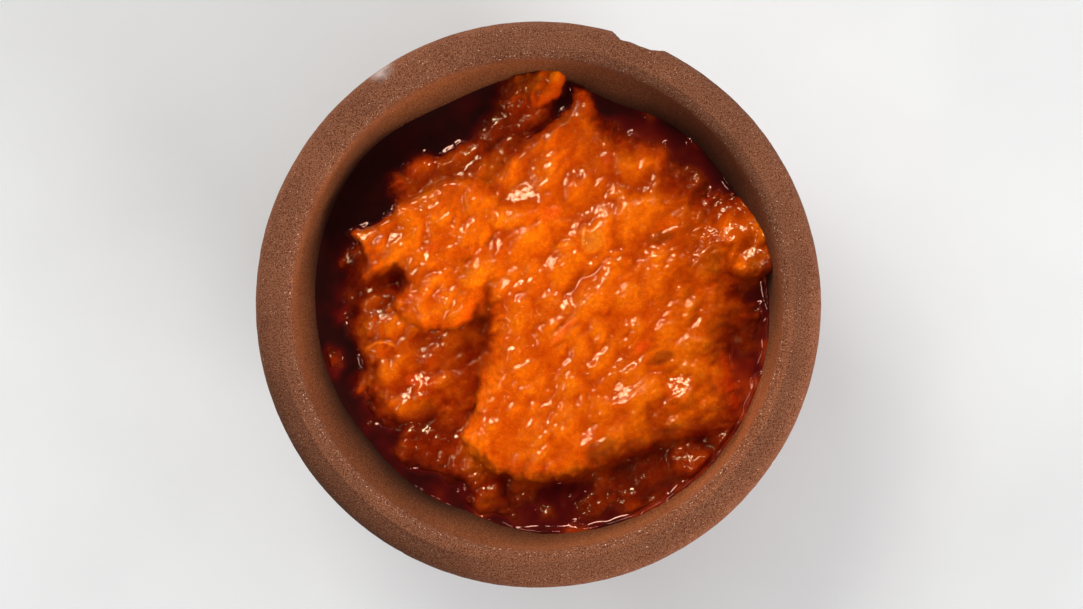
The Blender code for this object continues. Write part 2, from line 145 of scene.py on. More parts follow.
MAIN_HEAP = Spoonful(
    outline=(
        (7.8, 48.2, 2.4), (10.4, 47.0, 2.4), (11.4, 44.6, 3), (12.8, 41.4, 6), (20.0, 40.6, 12),
        (28.6, 37.6, 13), (36.0, 31.0, 13), (40.6, 23.0, 12), (43.8, 14.0, 12), (44.8, 3.0, 9),
        (43.6, -2.0, 6), (41.2, -6.5, 6), (41.4, -11.0, 7), (43.8, -15.5, 9), (46.4, -19.5, 11),
        (45.8, -25.0, 12), (39.6, -28.0, 8), (33.0, -28.8, 5.4), (27.0, -29.6, 4.2), (20.6, -32.6, 4.4),
        (12.8, -35.2, 4.4), (6.3, -37.8, 4.0), (-1.7, -38.4, 4.0), (-9.2, -36.8, 4.0),
        (-13.7, -33.0, 3.4), (-17.3, -28.4, 2.4), (-14.3, -23.6, 3.4), (-13.1, -15.0, 6),
        (-12.2, -5.0, 6), (-12.6, 3.4, 5), (-14.4, 14.0, 6), (-11.4, 24.0, 4), (-9.6, 28.0, 2.6),
        (-6.4, 32.2, 2.4), (-3.0, 35.6, 2.4), (2.0, 39.2, 2.4), (5.6, 42.2, 2.4),
    ),
    ground=38.8, top=45.6, lean=(-0.045, -0.070), soft=1.4,
)
TONGUE = Spoonful(
    outline=(
        (-2.7, 20.5, 7), (-10.3, 26.0, 4), (-16.1, 27.4, 2.2), (-21.1, 26.6, 1.8), (-28.9, 22.8, 1.8),
        (-32.6, 19.4, 1.6), (-35.6, 17.6, 1.6), (-41.6, 15.6, 1.4), (-38.6, 12.4, 1.4), (-38.0, 8.8, 1.6),
        (-38.9, 5.8, 1.2), (-36.4, 5.8, 1.2), (-33.6, 7.6, 1.2), (-30.7, 7.8, 1.2), (-29.2, 4.4, 1.6),
        (-30.8, 1.0, 2.2), (-30.4, -1.4, 2.2), (-28.4, -3.4, 2.2), (-24.4, -4.6, 2.2), (-19.6, -4.6, 2.2),
        (-15.6, -3.4, 2.2), (-13.8, -1.4, 2.6), (-10.6, 1.8, 6), (-3.0, 8.4, 12),
    ),
    ground=39.9, top=45.7, lean=(0.026, 0.012), soft=1.2,
)
LOBE = Spoonful(
    outline=(
        (-30.8, 2.2, 3.4), (-31.0, -1.0, 3), (-28.4, -3.8, 2.4), (-24.4, -5.0, 2.4), (-19.6, -5.0, 2.4),
        (-15.4, -3.8, 2.4), (-13.8, -0.6, 2.8), (-15.4, 2.8, 3.4), (-20.0, 4.2, 4), (-25.6, 4.6, 4),
    ),
    ground=43.4, top=46.5, lean=(0.03, 0.0), soft=0.8,
)
LEFT_SHOULDER = Spoonful(
    outline=(
        (-38.7, 13.0, 7), (-42.2, 7.0, 7), (-42.8, 1.0, 8), (-42.2, -4.5, 8), (-40.2, -9.4, 6),
        (-38.2, -14.0, 5), (-37.0, -19.0, 5), (-35.0, -23.6, 5), (-31.4, -25.6, 5), (-27.7, -25.4, 5),
        (-22.7, -24.8, 6), (-16.7, -24.0, 7), (-12.0, -19.0, 8), (-8.0, -8.0, 9), (-6.0, 6.0, 9),
        (-22.7, 14.0, 6),
    ),
    ground=39.2, top=43.3, lean=(-0.02, 0.0), soft=1.8,
)
FAR_LEFT_BANK = Spoonful(
    outline=(
        (-31.8, 20.0, 5), (-31.2, 25.0, 4), (-29.8, 29.4, 3.4), (-27.4, 32.4, 3.2), (-24.4, 33.0, 3),
        (-21.0, 32.8, 3), (-18.4, 34.0, 3), (-15.2, 35.6, 3), (-12.2, 36.2, 3), (-10.8, 32.0, 3),
        (-11.0, 27.7, 3), (-16.0, 22.0, 4), (-24.7, 18.0, 4),
    ),
    ground=38.2, top=42.6, lean=(0.01, -0.04), soft=1.4,
)
FAR_BANK = Spoonful(
    outline=(
        (-15.5, 36.4, 4), (-13.0, 40.8, 4), (-8.4, 43.0, 4), (-2.9, 44.2, 4), (1.6, 44.2, 4),
        (3.0, 40.6, 3), (-1.6, 37.4, 3), (-5.6, 35.0, 3.4), (-8.9, 33.6, 3.6), (-12.6, 33.8, 4),
    ),
    ground=38.8, top=41.1, lean=(0.05, 0.0), soft=1.8,
)
FAR_KNOB = Spoonful(
    outline=(
        (-2.6, 43.6, 3), (-2.4, 48.0, 3), (0.0, 52.0, 3), (4.8, 52.0, 3), (6.0, 48.4, 3), (4.6, 44.8, 3),
        (1.0, 42.6, 3),
    ),
    ground=38.4, top=43.6, lean=(0.02, 0.02), soft=2.2,
)
FAR_KNOB_FOOT = Spoonful(
    outline=(
        (-10.6, 43.2, 6), (-9.6, 46.6, 6), (-5.8, 51.0, 6), (-1.0, 52.0, 5), (1.0, 45.0, 4),
        (0.0, 41.6, 4), (-5.4, 40.6, 4),
    ),
    ground=38.6, top=42.0, lean=(0.14, 0.0), soft=2.4,
)
RIGHT_KNOB = Spoonful(
    outline=(
        (31.0, 20.0, 9), (40.4, 24.0, 8), (46.2, 21.4, 6), (49.9, 16.4, 3.2), (52.4, 10.6, 2.6),
        (51.4, 6.8, 2.2), (46.6, 5.8, 3), (40.0, 6.6, 6), (30.0, 11.0, 9),
    ),
    ground=39.8, top=44.7, lean=(0.05, 0.0), soft=4.0,
)
NEAR_LEFT_BANK = Spoonful(
    outline=(
        (-31.2, -28.9, 3.4), (-31.8, -32.8, 3.4), (-27.7, -36.6, 3.4), (-22.2, -36.8, 3.2),
        (-18.6, -37.4, 3), (-15.8, -40.0, 2.8), (-13.2, -42.2, 2.8), (-9.0, -42.2, 3), (-5.0, -40.6, 3.4),
        (1.3, -38.2, 4), (-6.7, -33.0, 4), (-14.7, -27.0, 4), (-20.7, -26.6, 3.4), (-27.0, -27.2, 3.2),
    ),
    ground=38.6, top=41.3, lean=(0.0, 0.05), soft=1.8,
)
NEAR_RIGHT_KNOB = Spoonful(
    outline=((28.0, -32.0, 4), (33.0, -29.4, 4), (37.2, -32.2, 4), (35.0, -37.2, 4), (29.0, -36.8, 4)),
    ground=38.8, top=42.2, lean=(0.0, 0.0), soft=2.4,
)
CLEAR_OF_WALL = (
    MAIN_HEAP, TONGUE, LOBE, LEFT_SHOULDER, FAR_LEFT_BANK, FAR_BANK, NEAR_LEFT_BANK, NEAR_RIGHT_KNOB,
)
AGAINST_WALL = (FAR_KNOB, FAR_KNOB_FOOT, RIGHT_KNOB)

# Small soft lumps that stand in the oil, as (x, y, radius, top), in millimetres
LOW_LUMPS = (
    (-13.4, -41.0, 4.2, 40.6), (-9.2, -42.4, 4.0, 40.4), (-6.0, -44.4, 3.4, 40.1),
    (-2.4, -42.0, 4.0, 40.1), (12.6, -43.6, 4.8, 40.0), (20.4, -41.6, 4.4, 41.3),
    (16.2, -37.0, 5.0, 41.0), (7.2, -42.2, 4.6, 40.4), (25.0, -37.4, 5.0, 41.0),
    (-17.9, -35.4, 3.6, 41.2), (40.4, -29.2, 5.4, 41.0), (0.4, -44.8, 3.4, 40.1),
    (30.4, -33.0, 5.4, 41.2), (22.0, -34.6, 4.0, 40.8), (44.4, -6.0, 2.4, 40.6), (43.0, -2.4, 3.4, 42.4),
    (-45.8, -12.2, 2.4, 42.2), (-37.8, -16.6, 3.4, 41.0), (-34.4, -23.0, 4.2, 40.8),
    (-30.4, 25.9, 1.9, 43.2), (-41.6, 9.4, 3.4, 40.1), (-42.6, 3.0, 3.2, 39.6), (-33.4, -29.6, 3.0, 39.9),
    (33.4, 34.4, 4.0, 40.0), (24.0, 41.4, 4.0, 39.9), (-14.4, 43.0, 4.2, 38.2), (-8.2, 31.6, 5.4, 40.2),
    (-10.2, 27.2, 4.4, 42.0), (-5.0, 35.0, 3.4, 40.2), (-35.0, -26.0, 4.0, 40.0),
    (-24.6, -27.8, 6.4, 41.7), (-18.6, -25.6, 4.6, 41.0), (-43.2, -2.0, 3.0, 40.0),
    (-11.4, 5.6, 5.2, 45.7),
)

# Hollows pressed into the heap, as (x, y, radius, depth), in millimetres
HOLLOWS = (
    (-31.2, 5.0, 3.6, 2.3), (-34.8, 4.6, 3.6, 2.0), (-12.6, -4.4, 3.2, 0.7), (-17.0, -8.4, 5.4, 0.7),
    (-41.4, -1.6, 3.2, 1.0), (-25.0, -7.8, 4.4, 0.8), (-35.6, -0.4, 3.0, 1.0), (-37.6, 3.0, 2.8, 0.9),
)

# Places that lean towards the window, where the wet relief sparkles, as (x, y, radius in millimetres, lean)
LEANS = (
    (-3.6, 22.6, 6.0, 0.30), (-36.4, 15.4, 4.6, 0.28), (-24.0, 22.4, 5.0, 0.14), (-16.4, 0.6, 3.4, 0.24),
    (41.4, 16.4, 5.4, 0.24), (29.0, 18.4, 4.0, 0.16), (10.4, 4.2, 3.6, 0.20), (17.4, -19.0, 4.6, 0.24),
    (29.8, -17.2, 4.6, 0.24), (10.8, -28.4, 4.2, 0.22), (-6.2, -33.8, 3.0, 0.20), (7.4, -35.0, 3.0, 0.20),
    (-25.6, -17.2, 4.6, 0.24), (-16.6, -15.0, 4.0, 0.20), (-25.4, -11.0, 3.4, 0.18),
    (33.0, -24.6, 3.8, 0.20), (7.4, 27.2, 3.6, 0.18), (-7.6, 3.6, 3.4, 0.18), (-9.8, 12.6, 3.2, 0.18),
    (-25.0, 29.4, 4.0, 0.20), (-14.6, 30.6, 4.6, 0.20), (32.6, -33.0, 3.4, 0.20),
)

# Calm places, where the oil lies thicker over the chopped pieces, as (x, y, reach in millimetres, share)
CALM = (
    (-6.0, -9.0, 9.0, 0.6), (-1.0, 9.0, 8.0, 0.45), (12.0, 33.0, 10.0, 0.5), (-6.0, -24.0, 8.0, 0.4),
    (20.0, 26.0, 7.0, 0.4), (38.0, 3.0, 7.0, 0.5), (40.0, -16.0, 8.0, 0.6), (-22.0, 14.0, 6.0, 0.35),
    (-25.0, -28.0, 5.0, 0.9), (21.0, -38.0, 8.0, 0.8), (20.0, 40.0, 6.0, 0.9), (30.0, 37.0, 6.0, 0.9),
    (38.0, 29.0, 5.0, 0.8), (-10.0, 38.0, 5.0, 0.6), (8.0, 24.0, 8.0, 0.45), (-22.0, -37.0, 7.0, 0.6),
    (22.0, 18.0, 6.0, 0.4),
)

# Places where the relish is darker: soaked by the oil, and painted shade in its hollows, under the lobe and
# in the wall's shadow at the far right, as (x, y, reach in millimetres, share)
SOAKED_AND_SHADED = (
    (-31.2, 5.0, 3.8, 0.95), (-35.0, 4.2, 4.0, 0.90), (-41.0, 6.6, 6.0, 0.8), (-41.4, -1.6, 3.6, 0.75),
    (-12.8, -4.4, 3.2, 0.6), (-17.0, -8.4, 5.0, 0.3), (-26.0, -7.6, 4.0, 0.45), (-35.4, -0.4, 3.2, 0.7),
    (-37.8, 3.0, 3.4, 0.8), (-32.6, 1.6, 2.6, 0.7), (-39.6, 9.4, 2.2, 0.5), (31.0, 40.0, 8.0, 0.5),
    (41.0, 30.0, 7.0, 0.5), (-22.0, 31.0, 10.0, 0.15), (44.0, -2.0, 5.0, 0.1), (-26.0, -33.0, 10.0, 0.15),
    (-12.0, -40.0, 8.0, 0.3), (2.0, -37.6, 6.0, 0.15), (-25.0, -27.4, 5.0, 0.45),
    (6.0, -10.0, 26.0, 0.16), (-4.0, -29.0, 12.0, 0.15), (-32.4, -27.4, 4.6, 0.8),
    (-12.0, 40.4, 4.4, 0.6), (26.0, -25.0, 6.0, 0.48), (36.0, 10.0, 5.0, 0.25), (45.0, 1.0, 5.0, 0.25),
    (49.2, 12.4, 4.0, 0.45), (49.4, 8.2, 2.8, 0.85), (46.6, 9.4, 4.4, 0.60), (-28.4, 6.0, 3.6, 0.70),
    (-16.0, 8.0, 4.0, 0.2), (13.6, 39.6, 4.0, 0.35), (10.0, -44.0, 4.0, 0.35), (-38.0, -14.0, 4.0, 0.30),
)

# Places that lie just under thin oil and glow, as (x, y, reach in millimetres, share)
GLOWING = (
    (42.0, -15.0, 5.6, 2.4), (43.6, -21.0, 5.0, 1.6), (24.0, 34.0, 7.0, 0.8), (28.0, 17.0, 3.4, 0.4),
    (-25.0, -16.0, 5.0, 0.45), (41.0, 8.0, 5.0, 0.6), (36.0, 4.0, 4.0, 0.3), (-26.5, 30.5, 4.4, 0.7),
    (4.4, 33.0, 6.0, 0.25), (9.0, 45.0, 3.0, 0.6), (31.0, 21.0, 6.0, 0.2), (26.0, -37.0, 6.0, 0.3),
    (-20.0, -21.0, 4.0, 0.4), (-3.0, 39.0, 4.0, 0.4), (-5.4, 32.6, 3.0, 0.3), (42.0, 17.0, 6.0, 0.15),
)


class Bit(NamedTuple):
    """A bit of flesh or skin that stands out by its colour, in millimetres."""

    x: float
    y: float
    length: float
    width: float
    degrees: float  # its direction
    height: float
    colour: tuple


# Colours of the bits that stand out
YELLOW_FLESH, OLIVE, DARK_SKIN = (0.86, 0.24, 0.010), (0.17, 0.026, 0.003), (0.15, 0.008, 0.004)
BITS = tuple(Bit(*row) for row in (
    (11.8, 13.4, 5.4, 4.0, 60, 0.15, YELLOW_FLESH), (9.6, 14.6, 4.6, 0.8, 82, 0.35, (0.95, 0.36, 0.03)),
    (-30.2, 25.6, 2.6, 2.2, 30, 0.3, (0.62, 0.035, 0.005)),
    (-27.6, -16.2, 3.4, 2.4, 30, 0.2, (0.74, 0.055, 0.005)), (48.6, 8.4, 4.2, 2.2, 60, 0.2, DARK_SKIN),
    (35.6, 10.0, 8.0, 5.0, 60, 0.0, (0.46, 0.040, 0.001)),
    (36.0, 22.2, 2.8, 1.8, 60, 0.2, (0.34, 0.012, 0.006)), (-36.8, 6.6, 3.4, 1.6, 65, 0.1, OLIVE),
    (26.2, 14.4, 6.0, 2.6, 20, 0.1, OLIVE), (26.4, -11.4, 5.4, 3.0, 25, 0.0, OLIVE),
    (13.6, -30.4, 8.0, 3.4, 25, 0.0, OLIVE), (5.4, -5.6, 7.4, 1.5, 48, 0.55, (0.84, 0.10, 0.012)),
    (-42.6, -1.8, 5.0, 2.2, 60, 0.3, (0.30, 0.012, 0.004)),
    (-23.0, 12.4, 3.0, 2.0, 20, 0.2, (0.80, 0.06, 0.004)),
    (2.6, 19.6, 4.6, 3.0, 20, 0.2, (0.84, 0.07, 0.004)),
    (22.2, -9.0, 4.2, 2.2, 40, 0.1, (0.80, 0.062, 0.004)),
    (14.6, 31.4, 3.0, 2.2, 70, 0.2, (0.60, 0.04, 0.004)),
))


class Chop(NamedTuple):
    """One layer of chopped pieces, in millimetres."""

    count: int
    radii: tuple  # least and most
    rise: float  # as a share of the radius
    stretches: tuple  # least and most
    spread: float  # of their direction, in radians


MOUNDS = Chop(count=390, radii=(1.6, 4.4), rise=0.24, stretches=(1.0, 1.7), spread=0.6)
CHUNKS = Chop(count=2800, radii=(0.7, 1.8), rise=0.27, stretches=(1.2, 2.6), spread=0.40)
CRUMBS = Chop(count=7000, radii=(0.4, 0.8), rise=0.30, stretches=(1.0, 1.8), spread=0.8)

# The curled strip of peel
PEEL_MIDDLE = (-34.0 * MM, -11.6 * MM)
PEEL_RADIUS = 4.0 * MM
PEEL_COLOUR = (0.86, 0.17, 0.008)

# Heights over the oil, in millimetres, at which the relish has its soaked, deep, middle and light colours;
# darker lower down, partly from the oil and partly as painted shade
COLOUR_HEIGHTS = (0.1, 1.7, 3.5, 5.6)

# What the relish's red, green and blue gain on tops, partly as painted light, and where it glows, and lose
# in gaps and soaked places, partly as painted shade
TOP_TINT_AND_PAINTED_LIGHT, GLOW_GAIN = np.array((0.14, 0.47, 0.6)), np.array((0.75, 0.95, 0.4))
GAP_JUICE_AND_PAINTED_SHADE, SOAKED_AND_SHADED_LOSS = np.array((0.20, 0.44, 0.3)), np.array((0.62, 0.86, 0.5))

# The relish's large patches: their darkest colour, and what the palest has more
PATCH_DARK, PATCH_RISE = np.array((0.95, 0.80, 0.9)), np.array((0.10, 0.24, 0.2))

# Levels of the heap's side below its surface, and the level where that side starts
SIDE_LEVELS = (34 * MM, 24 * MM, 15 * MM, 10 * MM)
SIDE_TOP = 37 * MM


class BowlSettings(bpy.types.PropertyGroup):
    """Size and clay of the bowl."""

    rim_radius: FloatProperty(
        name="Rim radius", description="Outer radius of the rim", default=RIM_RADIUS, unit="LENGTH"
    )
    height: FloatProperty(name="Height", description="Height of the rim", default=RIM_HEIGHT, unit="LENGTH")
    dent: FloatProperty(
        name="Dent", description="Depth of the dent in the rim's outer edge", default=1.7 * MM, unit="LENGTH"
    )
    steps: IntProperty(name="Steps", description="Steps of the turning", default=600, min=24)
    clay: FloatVectorProperty(
        name="Clay", description="Main colour of the fired clay", subtype="COLOR",
        default=(0.178, 0.0585, 0.0250),
    )
    warm_clay: FloatVectorProperty(
        name="Warm clay", description="Redder clay inside the hollow", subtype="COLOR",
        default=(0.290, 0.082, 0.0235),
    )


class RelishSettings(bpy.types.PropertyGroup):
    """Relief and colours of the relish."""

    cells: IntProperty(
        name="Cells", description="Cells along each side of the surface's grid", default=304, min=40
    )
    seed: IntProperty(name="Seed", description="Seed of the scatter of chopped pieces", default=11)
    stir_angle: FloatProperty(
        name="Stir angle", description="Direction in which the pieces lie", subtype="ANGLE",
        default=math.radians(48),
    )
    light: FloatVectorProperty(
        name="Light", description="Colour of the heap's top", subtype="COLOR", default=(0.76, 0.116, 0.0012)
    )
    middle: FloatVectorProperty(
        name="Middle", description="Colour a little below the top", subtype="COLOR",
        default=(0.54, 0.064, 0.0009),
    )
    deep: FloatVectorProperty(
        name="Deep", description="Colour of the lower masses", subtype="COLOR", default=(0.38, 0.030, 0.0012)
    )
    soaked: FloatVectorProperty(
        name="Soaked", description="Colour of relish just above the oil", subtype="COLOR",
        default=(0.150, 0.0110, 0.0024),
    )


class OilSettings(bpy.types.PropertyGroup):
    """Level and colours of the red oil."""

    level: FloatProperty(name="Level", description="Height of the oil", default=OIL_LEVEL, unit="LENGTH")
    cells: IntProperty(
        name="Cells", description="Cells along each side of the surface's grid", default=280, min=40
    )
    climb: FloatProperty(
        name="Climb", description="How far the oil climbs the wall and the relish", unit="LENGTH",
        default=0.9 * MM,
    )
    reach: FloatProperty(
        name="Reach", description="Width of the oil's climb", default=0.85 * MM, unit="LENGTH"
    )
    clearness: FloatVectorProperty(
        name="Clearness", description="White light's colour after a millimetre of oil", subtype="COLOR",
        default=(0.50, 0.36, 0.6),
    )
    bottom: FloatVectorProperty(
        name="Bottom", description="Colour of very deep oil", subtype="COLOR",
        default=(0.026, 0.0056, 0.0048),
    )


class StageSettings(bpy.types.PropertyGroup):
    """Floor, lights and camera."""

    floor: FloatVectorProperty(
        name="Floor", description="Colour of the floor", subtype="COLOR", default=(0.705, 0.715, 0.725)
    )
    key: FloatProperty(name="Key light", description="Power of the main light", default=2.4, unit="POWER")
    window: FloatProperty(
        name="Window", description="Power of the light that the wet surfaces mirror", unit="POWER",
        default=5.3,
    )
    far: FloatProperty(
        name="Far light", description="Power of the low light below the main one", default=5.4, unit="POWER"
    )
    near: FloatProperty(
        name="Near light", description="Power of the low light opposite it", default=10.0, unit="POWER"
    )
    sky: FloatProperty(name="Sky", description="Strength of the light from all round", default=0.52)
    distance: FloatProperty(
        name="Camera distance", description="From the camera to the rim", default=0.569, unit="LENGTH"
    )
    offset: FloatProperty(
        name="Camera offset", description="How far right of the bowl the camera hangs", unit="LENGTH",
        default=0.037,
    )


def hollow_radius(z):
    """Radius of the bowl's inner wall at height z, before the oval."""
    top = RIM_HEIGHT - INNER_ROUND
    share = np.clip((top - z) / (top - HOLLOW_FLOOR), 0, 1)
    return (MOUTH_RADIUS - INNER_ROUND / 2) * np.sqrt(1 - share**HOLLOW_POWER)


def oval_share(z):
    """How oval the hollow is at height z: not at all at the rim, fully from OVAL_BELOW downwards."""
    top = RIM_HEIGHT - INNER_ROUND
    share = np.clip((top - z) / (top - OVAL_BELOW), 0, 1)
    return OVAL * share * share * (3 - 2 * share)


def oval_place(x, y, amount):
    """(x, y) stretched by amount along the oval's long axis and squeezed as much across it."""
    c, s = math.cos(OVAL_ANGLE), math.sin(OVAL_ANGLE)
    along, across = (x * c + y * s) * (1 + amount), (-x * s + y * c) * (1 - amount)
    return along * c - across * s, along * s + across * c


def smooth_step(value):
    """0 below 0, 1 above 1 and a smooth rise between."""
    share = np.clip(value, 0, 1)
    return share * share * (3 - 2 * share)


def blurred(field, width):
    """The field with a Gaussian blur of this width."""
    rows = np.fft.fftfreq(field.shape[0], PITCH)[:, None]
    columns = np.fft.rfftfreq(field.shape[1], PITCH)[None, :]
    keep = np.exp(-2 * (math.pi * width) ** 2 * (rows**2 + columns**2))
    return np.fft.irfft2(np.fft.rfft2(field) * keep, field.shape)


def sampled(field, x, y):
    """The field's value at each (x, y), read between its points."""
    last = field.shape[0] - 1.001
    u = np.clip((x + HALF_FIELD) / PITCH, 0, last)
    v = np.clip((y + HALF_FIELD) / PITCH, 0, last)
    i, j = u.astype(int), v.astype(int)
    s, t = u - i, v - j
    if field.ndim == 3:
        s, t = s[:, None], t[:, None]
    near = field[j, i] * (1 - s) + field[j, i + 1] * s
    far = field[j + 1, i] * (1 - s) + field[j + 1, i + 1] * s
    return near * (1 - t) + far * t


def soft_noise(x, y, length, seed):
    """Smooth unevenness between about -1 and 1, with features of this length."""
    draw = np.random.default_rng(seed)
    turns = draw.uniform(0, 2 * math.pi, (256, 256))
    u, v = x / length + 128.3, y / length + 128.7
    i, j = np.floor(u).astype(int), np.floor(v).astype(int)
    s, t = u - i, v - j
    fade_s, fade_t = s**3 * (s * (s * 6 - 15) + 10), t**3 * (t * (t * 6 - 15) + 10)
    corners = []
    for b in (0, 1):
        for a in (0, 1):
            turn = turns[(j + b) % 256, (i + a) % 256]
            corners.append(np.cos(turn) * (s - a) + np.sin(turn) * (t - b))
    near = corners[0] + (corners[1] - corners[0]) * fade_s
    far = corners[2] + (corners[3] - corners[2]) * fade_s
    return 1.5 * (near + (far - near) * fade_t)


def smooth_outline(points, per_point=6):
    """Points of a closed curve that runs smoothly through the given ones."""
    given = np.array(points, float) * MM
    before, after, far = np.roll(given, 1, 0), np.roll(given, -1, 0), np.roll(given, -2, 0)
    rows = []
    for i in range(per_point):
        t = i / per_point
        rows.append(
            0.5 * (2 * given + (after - before) * t + (2 * before - 5 * given + 4 * after - far) * t**2
                   + (3 * given - before - 3 * after + far) * t**3)
        )
    return np.stack(rows, axis=1).reshape(-1, 3)


def depth_inside(x, y, outline):
    """Distance to a closed outline, positive inside it, and the edge width of its nearest point."""
    nearest = np.full(x.shape, 1.0)
    edge = np.full(x.shape, outline[0][2])
    inside = np.zeros(x.shape, bool)
    for (ax, ay, width), (bx, by, _) in zip(outline, np.roll(outline, -1, 0)):
        ex, ey = bx - ax, by - ay
        along = np.clip(((x - ax) * ex + (y - ay) * ey) / (ex * ex + ey * ey), 0, 1)
        distance = np.hypot(x - ax - along * ex, y - ay - along * ey)
        edge = np.where(distance < nearest, width, edge)
        nearest = np.minimum(nearest, distance)
        if ay != by:
            inside ^= ((ay > y) != (by > y)) & (x < ax + (y - ay) * ex / ey)
    return np.where(inside, nearest, -nearest), edge


def blended_max(a, b, width):
    """The larger of two heights, with a soft fillet where they meet."""
    share = np.clip(0.5 + 0.5 * (a - b) / width, 0, 1)
    return b + (a - b) * share + width * share * (1 - share)


def spoonful_height(x, y, spoonful):
    """A spoonful's surface: an upright round edge where it is narrow, a gentle slope where it is wide."""
    outline = smooth_outline(spoonful.outline)
    middle = outline.mean(0)
    depth, edge = depth_inside(x, y, outline)
    share = np.clip(depth / edge, 0, 1)
    gentle = np.clip((edge / MM - 4) / 6, 0, 1)
    rise = (1 - (1 - share) ** 2) ** 0.5
    rise = rise + (smooth_step(share) ** 0.9 - rise) * gentle
    lean = spoonful.lean[0] * (x - middle[0]) + spoonful.lean[1] * (y - middle[1])
    top = spoonful.top * MM + lean
    ground = spoonful.ground * MM
    return np.where(depth > 0, ground + (top - ground) * rise, ground - 6 * MM)


def chopped(x, y, chop, stir_angle, seed):
    """Height of one layer of chopped pieces, and a random number for the piece on top at each point."""
    draw = random.Random(seed)
    rise_field = np.zeros(x.shape)
    piece_field = np.full(x.shape, 0.5)
    size = x.shape[0]
    for _ in range(chop.count):
        px, py = draw.uniform(-50, 50) * MM, draw.uniform(-50, 50) * MM
        radius = (chop.radii[0] + (chop.radii[1] - chop.radii[0]) * draw.random() ** 1.5) * MM
        turn = stir_angle + draw.gauss(0, chop.spread)
        stretch = draw.uniform(*chop.stretches)
        rise = radius * chop.rise * draw.uniform(0.45, 1.25)
        kind = draw.random()
        reach = radius * stretch
        i0, i1 = int((px - reach + HALF_FIELD) / PITCH), int((px + reach + HALF_FIELD) / PITCH) + 2
        j0, j1 = int((py - reach + HALF_FIELD) / PITCH), int((py + reach + HALF_FIELD) / PITCH) + 2
        window = (slice(max(j0, 0), min(j1, size)), slice(max(i0, 0), min(i1, size)))
        dx, dy = x[window] - px, y[window] - py
        along = (dx * math.cos(turn) + dy * math.sin(turn)) / (radius * stretch)
        across = (-dx * math.sin(turn) + dy * math.cos(turn)) / (radius / stretch**0.5)
        dome = rise * np.clip(1 - along**2 - across**2, 0, 1)
        on_top = dome > rise_field[window]
        rise_field[window] = np.where(on_top, dome, rise_field[window])
        piece_field[window] = np.where(on_top, kind, piece_field[window])
    return rise_field, piece_field


